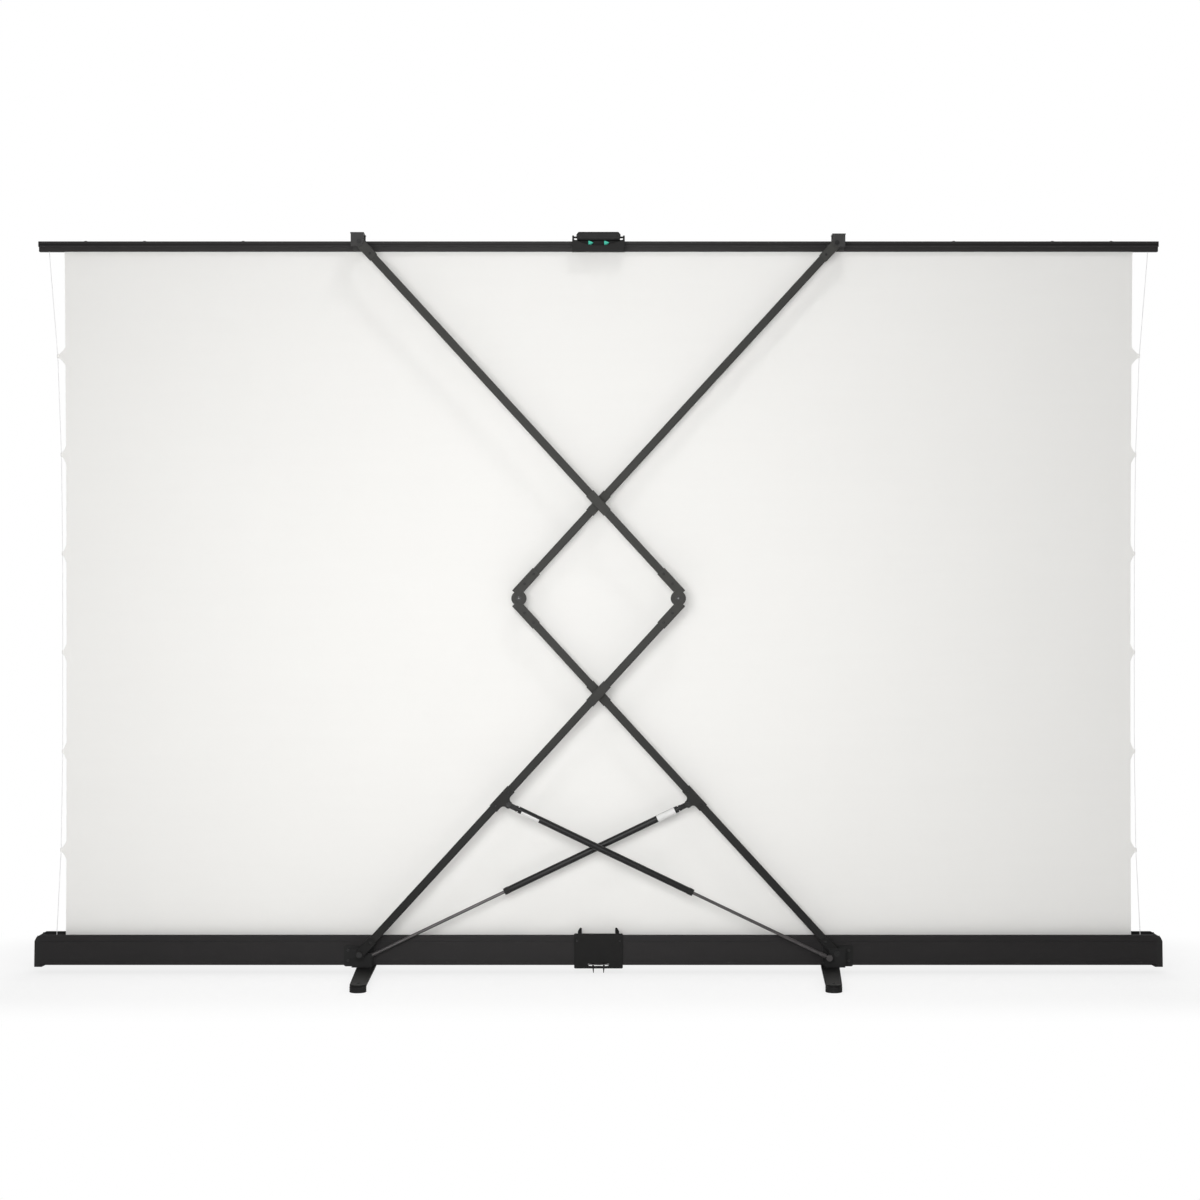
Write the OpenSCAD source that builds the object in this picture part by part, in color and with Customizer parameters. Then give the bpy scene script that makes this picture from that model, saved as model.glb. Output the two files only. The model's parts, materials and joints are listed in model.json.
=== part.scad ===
// Pull-up projection screen on a two-stage scissor frame.
// Millimetres. +Z up, floor at z = 0, +X along the case, the frame side faces -Y.

/* [Case] */
// Distance from the fabric's edge to the end of the case
case_past = 73; // [72:1:90]
// Depth of the case
case_d = 76; // [74:1:90]
// Height of the case body
case_h = 76; // [72:1:90]
// Height of the case's underside above the floor
case_z = 22; // [22:1:40]
// Wall of the case profile
case_wall = 2.5; // [2:0.5:3]
// Width of the lip on each side of the mouth
lip_w = 8; // [4:1:9]
// Thickness of an end cap
cap_t = 15; // [12:0.5:16]
// Length of the foot block under an end cap
cap_foot_l = 28; // [22:1:40]
// Height of the foot block under an end cap
cap_foot_h = 5; // [2:1:8]

/* [Roller] */
// Radius of the roller tube
tube_r = 17; // [14:0.5:18]
// Wall of the roller tube
tube_wall = 1.5; // [1:0.25:2]
// Distance of the roller axis in front of the case's middle
roller_y = 10; // [8:0.5:11]
// Height of the roller axis above the case's underside
roller_up = 38; // [34:1:42]
// Thickness of the turns that stay on the roller
wrap_t = 1.2; // [0.6:0.1:2]
// Distance from a roller end to the end cap
roller_end_gap = 25; // [18:1:30]
// Radius of the roller's shafts
shaft_r = 4; // [3:0.5:5]

/* [Screen] */
// Width of the fabric
fabric_w = 2704; // [2000:2:3200]
// Thickness of the fabric
fabric_t = 0.5; // [0.4:0.1:0.8]
// Side tabs on each edge
tab_count = 6; // [4:1:8]
// Distance between side tabs
tab_pitch = 250.6; // [150:1:270]
// Distance from the top bar down to the highest tab
tab_drop = 264; // [150:2:350]
// Length of a tab along the fabric edge
tab_w = 46; // [30:1:60]
// Radius of a tension cord
cord_r = 0.8; // [0.8:0.1:1.5]
// Least distance of the cord outside the fabric edge
cord_in = 7; // [6:0.5:10]
// Distance of the cord's top end outside the fabric edge
cord_out = 42; // [20:1:45]
// Distance of the cord outside the fabric edge at the case
cord_foot = 22; // [12:1:24]

/* [Arms] */
// Length of an arm from its end pivot to its elbow
arm_l = 1200; // [1000:5:1260]
// Offset of the elbow pin from the arm's middle line
elbow_off = 14; // [13.5:0.5:18]
// Angle of the arms when the screen is up
raised_deg = 47.5; // [40:0.5:55]
// Half the distance between the end pivots
pivot_half = 600; // [560:5:640]
// Height of the lower end pivots above the case's underside
pivot_up = 32; // [30:1:40]
// Width of an arm tube
arm_w = 20; // [16:1:22]
// Depth of an arm tube
arm_t = 12; // [10:0.5:14]
// Wall of an arm tube
arm_wall = 1.5; // [1:0.25:2]
// Wall of the fittings that are put over the tubes
fit_wall = 2; // [1.5:0.25:2.5]
// Length of the fitting at an end pivot
end_fit_l = 52; // [50:1:90]
// Distance from the elbow pin to the far end of its fitting
elbow_fit_l = 80; // [70:1:110]
// Radius of an elbow knuckle
knuckle_r = 19; // [15:0.5:20]
// Thickness of the elbow tongue
tongue_t = 6; // [5:0.5:8]
// Radius of an elbow pin
elbow_pin_r = 4.5; // [3.5:0.5:6]
// Radius of an end pivot pin
pivot_pin_r = 5; // [4:0.5:6]
// Length of a crossing coupler
coupler_l = 65; // [50:1:68]
// Radius of the round face on a crossing coupler
coupler_boss_r = 11; // [8:0.5:12]
// Gap between the two layers of fittings
layer_gap = 6; // [6:0.5:8]

/* [Gas struts] */
// Distance of the strut saddle from the arm's end pivot
saddle_s = 530; // [500:1:531]
// Length of a strut saddle
saddle_l = 66; // [50:1:68]
// Distance of the strut pin under the arm's middle line
saddle_off = 22; // [22:0.5:24]
// Radius of the strut cylinder
cyl_r = 8.5; // [7:0.5:8.5]
// Distance from the strut pin to the open end of the cylinder
cyl_end = 513; // [470:1:540]
// Radius of the strut rod
rod_r = 4; // [3:0.5:5]
// Distance from an end pivot inwards to the rod end on the same bracket
rod_end_in = 20; // [18:1:25]
// Height of a rod end above the case's underside
rod_end_up = 23; // [20:1:24]
// Radius of the eye at each end of a strut
eye_r = 8; // [6.5:0.5:8]
// Thickness of the eye at each end of a strut
eye_t = 8; // [6:0.5:8]
// Radius of the strut's pins
strut_pin_r = 4; // [3:0.5:4.5]

/* [Brackets] */
// Thickness of the bracket plates on the case and the bar
plate_t = 3; // [2:0.25:3.5]
// Thickness of a bracket cheek
cheek_t = 2; // [1.5:0.25:2.5]
// Width of a bracket cheek
cheek_w = 41; // [36:1:48]
// Height of a base bracket's cheek
cheek_h = 48; // [44:1:52]
// Width of a top bracket
top_cheek_w = 32; // [26:1:40]
// Height of a top bracket above the bar
top_cheek_up = 11; // [10:1:20]

/* [Feet] */
// Distance of a foot's swivel bolt from the middle of the screen
foot_x = 588; // [500:1:640]
// Distance from the swivel bolt to the middle of a pad
foot_reach = 319; // [250:1:350]
// Width of a foot bar at its middle
foot_w = 46; // [40:1:56]
// Thickness of a foot bar
foot_t = 6; // [4:0.5:6]
// Radius of a rubber pad
pad_r = 20.5; // [16:0.5:24]
// Height of a rubber pad
pad_h = 13; // [8:0.5:13]
// Inward lean of the left foot
left_lean = 1.6; // [0:0.2:6]
// Inward lean of the right foot
right_lean = 3.8; // [0:0.2:6]
// Radius of a swivel bolt
foot_bolt_r = 5; // [4:0.5:6]

/* [Top bar] */
// Distance from the fabric's edge to the end of the top bar
bar_past = 66; // [52:1:120]
// Depth of the top bar
bar_d = 30; // [26:1:34]
// Height of the top bar
bar_h = 25; // [22:1:30]
// Height of the bar's lower rib, which holds the fabric
rib_h = 11; // [9:0.5:13]
// Depth of the bar's lower rib
rib_d = 14; // [10:1:18]
// Wall of the bar profile
bar_wall = 1.6; // [1.2:0.2:2]
// Height of the top pivots above the bar's underside
bar_pivot_up = 15.4; // [14:0.2:18]

/* [Handle and latch] */
// Width of the handle saddle
saddle_w = 133; // [110:1:160]
// Depth of the dip in the saddle's rear wall
smile_h = 15; // [8:1:18]
// Width of the grip
grip_w = 112; // [80:1:116]
// Depth of the grip
grip_d = 24; // [18:1:26]
// Height of the grip
grip_h = 21.5; // [18:0.5:24]
// Radius of the grip's edges
grip_edge = 8; // [5:0.5:9]
// Radius of the grip's pin
grip_pin_r = 2.5; // [2:0.5:3]
// Radius of a bumper under the grip
bumper_r = 6; // [3:0.5:6]
// Distance of a bumper from the middle
bumper_x = 20; // [12:1:30]
// Width of the latch cover on the case
cover_w = 123; // [110:1:140]
// Distance from the middle to the inner side of a latch tongue
tongue_x = 42; // [34:1:43]
// Width of a latch tongue at its root
tongue_w = 10; // [6:0.5:10]
// Height of a latch tongue above the case
tongue_up = 19; // [15:1:22]
// Distance from the middle to a latch lever
lever_x = 11; // [9:0.5:16]
// Width of a latch lever
lever_w = 6; // [4:0.5:8]
// Travel of each latch when its lever is squeezed
latch_travel = 4; // [2:0.5:5]

/* [Hidden] */
$fn = 40;

// Clearances
free = 0.3;        // between pieces of different bodies
run = 0.05;        // radial, pin in bore
fit = 0.1;         // tube in its fitting
slide = 0.2;       // tube in its sliding coupler
side_gap = 1.5;    // fitting beside a bracket plate
cheek_gap = 1.2;   // fitting beside a bracket cheek
end_gap = 0.2;     // end of a pin or screw in its hole
cut = 1;           // how far a cut runs past a face, or a boss into its body

// Heights and planes of the case
case_top = case_z + case_h;
case_rear = -case_d / 2;
case_end = fabric_w / 2 + case_past;
body_end = case_end - cap_t;
roller_z = case_z + roller_up;
roll_r = tube_r + wrap_t;
sheet_y = roller_y - roll_r - free - fabric_t / 2;
roller_end = body_end - roller_end_gap;

// Depths of the two layers of arms, the left-footed arms to the rear
fit_t = arm_t + 2 * fit_wall;
fit_w = arm_w + 2 * fit_wall;
back_y = case_rear - plate_t - side_gap - fit_t / 2;
front_y = back_y - fit_t - layer_gap;
cheek_y0 = back_y - fit_t / 2 - cheek_gap;
cheek_y1 = cheek_y0 - cheek_t;

// Places of the scissor's pivots
pivot_z = case_z + pivot_up;
elbow_h = arm_l * sin(raised_deg) + elbow_off * cos(raised_deg);
elbow_z = pivot_z + elbow_h;
top_z = pivot_z + 2 * elbow_h;
cross_s = pivot_half / cos(raised_deg);

// Top bar
bar_bottom = top_z - bar_pivot_up;
bar_top = bar_bottom + bar_h;
bar_rear = sheet_y - bar_d / 2;
bar_end = fabric_w / 2 + bar_past;

// Gas struts: the strut pin on the left arm and the rod end on the right bracket
rod_end_x = pivot_half - rod_end_in;
rod_end_z = case_z + rod_end_up;
strut_x = -pivot_half + saddle_s * cos(raised_deg) + saddle_off * sin(raised_deg);
strut_z = pivot_z + saddle_s * sin(raised_deg) - saddle_off * cos(raised_deg);
strut_deg = atan2(rod_end_z - strut_z, rod_end_x - strut_x);
strut_l = sqrt(pow(rod_end_x - strut_x, 2) + pow(rod_end_z - strut_z, 2));

// Feet
foot_z = pad_h;
foot_top = foot_z + foot_t;
shelf_gap = 0.5;
shelf_z = foot_top + shelf_gap;
shelf_t = 2.5;

// Tension cord: straight from tab to tab, closest to the fabric at this height
cord_low_z = 780;
cord_bow = 3.5;
function cord_x(z) = fabric_w / 2 + cord_in + (z > cord_low_z
    ? (cord_out - cord_in) * pow((z - cord_low_z) / (bar_bottom - cord_low_z), cord_bow)
    : (cord_foot - cord_in) * pow((cord_low_z - z) / (cord_low_z - case_top), cord_bow));
function tab_z(i) = bar_bottom - tab_drop - i * tab_pitch;
cord_points = concat(
    [[cord_x(bar_bottom), bar_bottom + rib_h - free]],
    [for (i = [0:tab_count - 1]) [cord_x(tab_z(i)), tab_z(i)]],
    [[cord_x(case_top), case_top], [cord_x(case_top), roller_z]]
);

// Helpers
module round_rect(w, h, r) {
    square([w - 2 * r, h], center = true);
    square([w, h - 2 * r], center = true);
    for (sx = [-1, 1], sy = [-1, 1])
        translate([sx * (w / 2 - r), sy * (h / 2 - r)])
            circle(r, $fn = 32);
}

// Runs a (y, z) outline along X
module along_x(x0, x1) {
    translate([x0, 0, 0])
        rotate([90, 0, 90])
            linear_extrude(x1 - x0)
                children();
}

// Runs an (x, z) outline along Y
module along_y(y0, y1) {
    translate([0, y1, 0])
        rotate([90, 0, 0])
            linear_extrude(y1 - y0)
                children();
}

module pin_x(r, x0, x1, y = 0, z = 0) {
    translate([x0, y, z])
        rotate([0, 90, 0])
            cylinder(r = r, h = x1 - x0);
}

module pin_y(r, y0, y1, x = 0, z = 0) {
    translate([x, y1, z])
        rotate([90, 0, 0])
            cylinder(r = r, h = y1 - y0);
}

module box(x0, x1, y0, y1, z0, z1) {
    translate([x0, y0, z0])
        cube([x1 - x0, y1 - y0, z1 - z0]);
}

// side -1 is the left and the rear layer, side 1 the right and the layer next to the case
module on_side(side) {
    mirror([side > 0 ? 1 : 0, 0, 0])
        children();
}

// A round head with a hexagonal socket in its rear face
hex_r = 2.9;
hex_deep = 1.2;

module hex_head(r, y0, y1, x = 0, z = 0) {
    difference() {
        pin_y(r, y0, y1, x, z);
        translate([x, y0 + hex_deep, z])
            rotate([90, 0, 0])
                cylinder(r = hex_r, h = hex_deep + cut, $fn = 6);
    }
}

function layer_y(side) = side < 0 ? front_y : back_y;
// Direction along Y from a layer towards the plane between the two layers
function inward(side) = side < 0 ? 1 : -1;

// An arm's own frame: the end pivot at the origin, the tube along X
module arm_frame(side, upper) {
    translate([0, 0, upper ? 2 * elbow_z : 0])
        mirror([0, 0, upper ? 1 : 0])
            on_side(side)
                translate([-pivot_half, layer_y(side), pivot_z])
                    rotate([0, -raised_deg, 0])
                        children();
}

// A strut's own frame: the saddle pin at the origin, the rod along X
module strut_frame(side) {
    on_side(side)
        translate([strut_x, layer_y(side), strut_z])
            rotate([0, -strut_deg, 0])
                children();
}

// Case
case_edge = 3;
groove_w = 1.4;
groove_deep = 0.8;
groove_low = 8;
groove_high = 16;
screw_boss_r = 4;
screw_r = 1.8;
boss_in = case_wall + screw_boss_r - 0.5;

module boss_places() {
    for (sy = [-1, 1], z = [case_z + boss_in, case_top - boss_in])
        translate([sy * (case_d / 2 - boss_in), z])
            children();
}

module case_outline() {
    translate([0, case_z + case_h / 2])
        round_rect(case_d, case_h, case_edge);
}

module case_extrusion() {
    color([0.19, 0.18, 0.18])
    difference() {
        along_x(-body_end, body_end)
            difference() {
                union() {
                    difference() {
                        case_outline();
                        translate([0, case_z + case_h / 2])
                            square([case_d - 2 * case_wall, case_h - 2 * case_wall], center = true);
                    }
                    boss_places()
                        circle(screw_boss_r);
                }
                translate([0, case_top])
                    square([case_d - 2 * lip_w, 3 * case_wall], center = true);
                boss_places()
                    circle(screw_r);
                for (sy = [-1, 1], z = [case_z + groove_low, case_top - groove_high])
                    translate([sy * case_d / 2, z])
                        square([2 * groove_deep, groove_w], center = true);
            }
        for (s = [-1, 1])
            translate([s * foot_x, 0, case_z - cut])
                cylinder(r = foot_bolt_r + fit, h = case_wall + 2 * cut);
    }
}

// An end cap from behind: sloped shoulder above, foot block below
cap_edge = 4;
cap_foot_slope = 10;
cap_top_in = 6;
cap_top_drop = 5;
cap_side_in = 1;
cap_side_drop = 15;

module cap_side_outline() {
    z0 = case_z - cap_foot_h;
    polygon([
        [-case_end, z0], [-case_end + cap_foot_l - cap_foot_slope, z0], [-case_end + cap_foot_l, case_z],
        [-body_end, case_z], [-body_end, case_top], [-case_end + cap_top_in, case_top - cap_top_drop],
        [-case_end + cap_side_in, case_top - cap_side_drop]
    ]);
}

// How deep the caps hold their screws' heads and the roller's shafts
screw_floor = 5;
screw_head_t = 3;
screw_head_gap = 0.3;
screw_gap = 0.2;
screw_in = 12;
shaft_in = 8;

module end_cap(side) {
    color([0.15, 0.15, 0.15])
    on_side(side)
        difference() {
            intersection() {
                along_x(-case_end - cut, -case_end + cap_foot_l + cut)
                    translate([0, case_z + case_h / 2 - cap_foot_h / 2])
                        round_rect(case_d, case_h + cap_foot_h, cap_edge);
                along_y(-case_d, case_d)
                    cap_side_outline();
            }
            boss_places_x()
                pin_x(screw_r + screw_gap, -case_end - cut, -body_end + cut);
            boss_places_x()
                pin_x(screw_boss_r, -case_end - cut, -body_end - screw_floor);
            pin_x(shaft_r + run, -body_end - shaft_in, -body_end + cut, roller_y, roller_z);
        }
}

module boss_places_x() {
    for (sy = [-1, 1], z = [case_z + boss_in, case_top - boss_in])
        translate([0, sy * (case_d / 2 - boss_in), z])
            children();
}

module left_end_cap() { end_cap(-1); }
module right_end_cap() { end_cap(1); }

// The base brackets' screws, beside the arms
tab_x = pivot_half + 32;
tab_low = 12;
tab_rise = 26;
tab_zs = [case_z + tab_low, case_z + tab_low + tab_rise];
tab_head_r = 3.5;
tab_head_t = 1.6;

module case_screws() {
    color([0.35, 0.35, 0.36]) {
        for (s = [-1, 1])
            on_side(s)
                boss_places_x() {
                    pin_x(screw_r - run, -body_end - screw_floor - cut, -body_end + screw_in);
                    pin_x(screw_boss_r - screw_head_gap, -body_end - screw_floor - screw_head_t,
                        -body_end - screw_floor);
                }
        for (s = [-1, 1], z = tab_zs)
            on_side(s) {
                pin_y(screw_r, case_rear - plate_t, case_rear - end_gap, -tab_x, z);
                hex_head(tab_head_r, case_rear - plate_t - tab_head_t, case_rear - plate_t, -tab_x, z);
            }
    }
}

// Roller
roller_plate_t = 8;
roller_plate_w = 40;
roller_plate_h = 44;
roller_plate_r = 6;
plug_in = 16;
plug_rim = 4;
hub_wall = 4;
shaft_in_plug = 14;
shaft_past_spring = 14;
wrap_gap = 0.02;
spring_l = 420;
spring_wall_gap = 3;
spring_shaft_gap = 3;

module roller_brackets() {
    color([0.55, 0.55, 0.56])
    for (s = [-1, 1])
        on_side(s)
            difference() {
                along_x(-body_end, -body_end + roller_plate_t)
                    translate([roller_y, roller_z])
                        round_rect(roller_plate_w, roller_plate_h, roller_plate_r);
                pin_x(shaft_r + run, -body_end - cut, -body_end + roller_plate_t + cut, roller_y, roller_z);
            }
}

module roller_shafts() {
    spring_end = roller_end - plug_in - spring_l;
    color([0.7, 0.7, 0.71]) {
        pin_x(shaft_r, -body_end - shaft_in + end_gap, -roller_end + shaft_in_plug, roller_y, roller_z);
        pin_x(shaft_r, spring_end - shaft_past_spring, body_end + shaft_in - end_gap, roller_y, roller_z);
    }
}

module roller_tube() {
    color([0.6, 0.6, 0.61])
    difference() {
        pin_x(tube_r, -roller_end, roller_end, roller_y, roller_z);
        pin_x(tube_r - tube_wall, -roller_end - cut, roller_end + cut, roller_y, roller_z);
    }
}

module roller_plugs() {
    color([0.12, 0.12, 0.12])
    for (s = [-1, 1])
        on_side(s)
            difference() {
                union() {
                    pin_x(tube_r - tube_wall - run, -roller_end, -roller_end + plug_in, roller_y, roller_z);
                    pin_x(tube_r, -roller_end - plug_rim, -roller_end, roller_y, roller_z);
                    pin_x(shaft_r + hub_wall, -body_end + roller_plate_t + free, -roller_end - plug_rim,
                        roller_y, roller_z);
                }
                pin_x(shaft_r + run, -body_end, -roller_end + plug_in + cut, roller_y, roller_z);
            }
}

module rolled_fabric() {
    color([0.93, 0.93, 0.92])
    difference() {
        pin_x(roll_r, -fabric_w / 2, fabric_w / 2, roller_y, roller_z);
        pin_x(tube_r + wrap_gap, -fabric_w / 2 - cut, fabric_w / 2 + cut, roller_y, roller_z);
    }
}

module roller_spring() {
    x1 = roller_end - plug_in - end_gap;
    x0 = roller_end - plug_in - spring_l;
    color([0.45, 0.45, 0.47])
    difference() {
        pin_x(tube_r - tube_wall - spring_wall_gap, x0, x1, roller_y, roller_z);
        pin_x(shaft_r + spring_shaft_gap, x0 - cut, x1 + cut, roller_y, roller_z);
    }
}

// Latch on the case
cover_t = 3.4;
cover_skin = 1;
cover_edge = 3;
cover_y = case_rear - cover_t;
cover_top = case_top + 4.5;
cover_bottom = case_z - 8;
blade_gap = 0.5;
blade_y0 = case_rear - blade_gap;
blade_t = 1.6;
blade_low = case_z + 6;
blade_mid = blade_low + 8;
blade_room = 4;
lever_room = 1;
lever_end = case_z - 19;
lever_lean = 1;
lever_tip_w = 1.6;
window_z = case_z + 2.5;
window_w = 50;
window_h = 8;

module latch_cover() {
    outer = tongue_x + tongue_w + blade_room;
    color([0.16, 0.16, 0.16])
    difference() {
        along_y(cover_y, case_rear)
            difference() {
                translate([0, (cover_top + cover_bottom) / 2])
                    round_rect(cover_w, cover_top - cover_bottom, cover_edge);
                translate([0, window_z])
                    square([window_w, window_h], center = true);
            }
        box(-outer, outer, cover_y + cover_skin, case_rear + cut, blade_low - 2, cover_top + cut);
        for (s = [-1, 1])
            on_side(s)
                box(-lever_x - lever_w - lever_room, -lever_x + latch_travel + lever_room, cover_y + cover_skin,
                    case_rear + cut, cover_bottom - cut, blade_low);
    }
}

// A tongue's rounded tip and the slope of its outer edge
tongue_round = 3;
tongue_slope = 60;

module latch_blade() {
    tip = case_top + tongue_up - tongue_round;
    tip_x = -tongue_x - tongue_round;
    outer = -tongue_x - tongue_w;
    slope_x = tip_x - tongue_round * sin(tongue_slope);
    slope_z = tip + tongue_round * cos(tongue_slope);
    color([0.1, 0.1, 0.1])
    along_y(blade_y0 - blade_t, blade_y0)
        union() {
            translate([tip_x, tip])
                circle(tongue_round);
            polygon([
                [-tongue_x, tip], [tip_x, tip], [slope_x, slope_z],
                [outer, slope_z - (slope_x - outer) * tan(tongue_slope)], [outer, blade_low],
                [-lever_x - lever_w, blade_low], [-lever_x - lever_lean - lever_tip_w, lever_end],
                [-lever_x - lever_lean, lever_end], [-lever_x, blade_low], [-lever_x, blade_mid],
                [-tongue_x, blade_mid]
            ]);
        }
}

module left_latch() { on_side(-1) latch_blade(); }
module right_latch() { on_side(1) latch_blade(); }

// A bent leaf across the window with a lump at each end
leaf_t = 1.6;
leaf_d = 1.4;
leaf_w = 49;
leaf_dip = 2;
lump_r = 2.4;

module latch_spring() {
    bend_r = (pow(leaf_w / 2, 2) + pow(leaf_dip, 2)) / (2 * leaf_dip);
    color([0.8, 0.8, 0.82])
    along_y(cover_y - leaf_d, cover_y)
        union() {
            intersection() {
                translate([0, window_z - leaf_dip + bend_r])
                    difference() {
                        circle(bend_r, $fn = 200);
                        circle(bend_r - leaf_t, $fn = 200);
                    }
                translate([0, window_z])
                    square([leaf_w, window_h], center = true);
            }
            for (s = [-1, 1])
                translate([s * leaf_w / 2, window_z])
                    circle(lump_r);
        }
}

// Base brackets
bracket_in = pivot_half - 34;
bracket_out = pivot_half - 20 + cheek_w;
plate_edge = 10;
plate_corner = 4;
shelf_in = 4;
web_t = 2.5;
web_h = 26;
boss_r = 8;
rod_boss_r = 7;
bracket_plate_up = 50;

module base_bracket(side) {
    x1 = tab_x + plate_edge;
    z1 = case_z + bracket_plate_up;
    color([0.14, 0.14, 0.14])
    on_side(side)
        difference() {
            union() {
                along_y(case_rear - plate_t, case_rear)
                    translate([-(bracket_in + x1) / 2, (shelf_z + z1) / 2])
                        round_rect(x1 - bracket_in, z1 - shelf_z, plate_corner);
                box(-bracket_out, -bracket_in - shelf_in, cheek_y0 - cheek_t, case_rear - plate_t,
                    shelf_z, shelf_z + shelf_t);
                along_y(cheek_y1, cheek_y0)
                    cheek_outline();
                box(-bracket_out, -bracket_out + web_t, cheek_y0, case_rear - plate_t,
                    shelf_z + shelf_t / 2, shelf_z + web_h);
                if (side < 0) {
                    pin_y(boss_r, front_y + fit_t / 2 + free, cheek_y1, -pivot_half, pivot_z);
                    pin_y(rod_boss_r, back_y + eye_t / 2 + free, case_rear - plate_t, -rod_end_x, rod_end_z);
                }
                if (side > 0)
                    pin_y(rod_boss_r, front_y + eye_t / 2 + free, cheek_y1, -rod_end_x, rod_end_z);
            }
            pin_y(pivot_pin_r + run, front_y, side < 0 ? cheek_y0 + clip_t : case_rear + cut,
                -pivot_half, pivot_z);
            for (z = tab_zs)
                pin_y(screw_r + fit, case_rear - plate_t - cut, case_rear + cut, -tab_x, z);
        }
}

// A cheek with rounded corners at its foot and a shoulder beside the arm
cheek_corner = 10;
cheek_shoulder = 14;

module cheek_outline() {
    r = cheek_corner;
    z1 = shelf_z + cheek_h;
    union() {
        translate([-bracket_out, shelf_z + r])
            square([cheek_w, cheek_h - r]);
        translate([-bracket_out + r, shelf_z])
            square([bracket_out - bracket_in - shelf_in - r, r + cut]);
        translate([-bracket_out + r, shelf_z + r])
            circle(r);
        translate([-bracket_out + cheek_w - cut, shelf_z])
            square([bracket_out - cheek_w - bracket_in - shelf_in + cut, z1 - shelf_z - cheek_shoulder]);
    }
}

module left_base_bracket() { base_bracket(-1); }
module right_base_bracket() { base_bracket(1); }

head_r = 7.5;
left_head_t = 4;
right_head_t = 1.8;
clip_r = 7;
clip_t = 1;

module base_pivot_pins() {
    y0 = front_y - fit_t / 2 - free;
    color([0.5, 0.5, 0.51]) {
        pin_y(pivot_pin_r, y0, cheek_y0, -pivot_half, pivot_z);
        hex_head(head_r, y0 - left_head_t, y0, -pivot_half, pivot_z);
        pin_y(clip_r, cheek_y0, cheek_y0 + clip_t, -pivot_half, pivot_z);
        pin_y(pivot_pin_r, cheek_y1, case_rear - end_gap, pivot_half, pivot_z);
        hex_head(head_r, cheek_y1 - right_head_t, cheek_y1, pivot_half, pivot_z);
    }
}

// Feet
washer_r = 12;
bolt_head_r = 9.5;
bolt_head_h = 3.4;
nut_r = 8;
nut_h = 4;
foot_waist = 30;
pad_rim = 0.5;
pad_bevel = 1.5;

module foot_bolts() {
    color([0.5, 0.5, 0.51])
    for (s = [-1, 1])
        translate([s * foot_x, 0, 0]) {
            translate([0, 0, foot_z - free])
                cylinder(r = foot_bolt_r, h = case_z + case_wall + nut_h - foot_z + free);
            translate([0, 0, foot_top + free])
                cylinder(r = washer_r, h = case_z - foot_top - free);
            translate([0, 0, foot_z - free - bolt_head_h])
                cylinder(r = bolt_head_r, h = bolt_head_h, $fn = 6);
            translate([0, 0, case_z + case_wall])
                cylinder(r = nut_r, h = nut_h, $fn = 6);
        }
}

module foot_frame(side) {
    translate([side * foot_x, 0, 0])
        rotate([0, 0, side < 0 ? left_lean : -right_lean])
            children();
}

module foot_bar(side) {
    tip_r = pad_r - pad_rim;
    color([0.13, 0.13, 0.13])
    foot_frame(side)
        difference() {
            translate([0, 0, foot_z])
                linear_extrude(foot_t)
                    for (s = [-1, 1])
                        scale([1, s]) {
                            polygon([
                                [-foot_w / 2, 0], [foot_w / 2, 0], [foot_w / 2, foot_waist],
                                [tip_r, foot_reach], [-tip_r, foot_reach], [-foot_w / 2, foot_waist]
                            ]);
                            translate([0, foot_reach])
                                circle(tip_r);
                        }
            translate([0, 0, foot_z - cut])
                cylinder(r = foot_bolt_r + run, h = foot_t + 2 * cut);
        }
}

module foot_pads(side) {
    color([0.07, 0.07, 0.07])
    foot_frame(side)
        for (s = [-1, 1])
            translate([0, s * foot_reach, 0]) {
                cylinder(r1 = pad_r - pad_bevel, r2 = pad_r, h = pad_bevel);
                translate([0, 0, pad_bevel])
                    cylinder(r = pad_r, h = pad_h - pad_bevel);
            }
}

module left_foot_bar() { foot_bar(-1); }
module right_foot_bar() { foot_bar(1); }
module left_foot_pads() { foot_pads(-1); }
module right_foot_pads() { foot_pads(1); }

// Arms
tube_start = 16;
tube_edge = 3;
bore_edge = 1.6;
sleeve_edge = 2.5;
elbow_wall = 10;
knuckle_gap = 3;
elbow_end = arm_l - knuckle_r - knuckle_gap;
tube_end = elbow_end - elbow_wall;

module tube_outline() {
    difference() {
        round_rect(arm_t, arm_w, tube_edge);
        round_rect(arm_t - 2 * arm_wall, arm_w - 2 * arm_wall, bore_edge);
    }
}

module socket(x0, x1, gap) {
    along_x(x0, x1)
        round_rect(arm_t + 2 * gap, arm_w + 2 * gap, tube_edge);
}

module sleeve(x0, x1) {
    along_x(x0, x1)
        round_rect(fit_t, fit_w, sleeve_edge);
}

module arm_tube(side, upper) {
    color([0.29, 0.29, 0.27])
    arm_frame(side, upper)
        along_x(tube_start, tube_end)
            tube_outline();
}

module end_fitting(side, upper, bore_gap) {
    color([0.15, 0.15, 0.14])
    arm_frame(side, upper)
        difference() {
            union() {
                sleeve(0, end_fit_l);
                pin_y(fit_w / 2, -fit_t / 2, fit_t / 2);
            }
            socket(tube_start - fit, end_fit_l + cut, fit);
            pin_y(pivot_pin_r + bore_gap, -fit_t, fit_t);
        }
}

// A knuckle's (x, z) outline: the round eye and the neck back to the sleeve
module knuckle_outline() {
    x0 = elbow_end - 4 * cut;
    half = fit_w / 2 - sleeve_edge;
    translate([arm_l, elbow_off])
        circle(knuckle_r);
    polygon([[x0, -half], [arm_l, elbow_off - knuckle_r + cut], [arm_l, half], [x0, half]]);
}

// The sleeve's end runs on beside the knuckle, hollowed to clear the other arm's knuckle
shoulder_in = 3;

module shoulder_outline() {
    difference() {
        translate([elbow_end - cut, -fit_w / 2])
            square([arm_l - shoulder_in - elbow_end + cut, fit_w]);
        translate([arm_l, elbow_off])
            circle(knuckle_r + free);
    }
}

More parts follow.
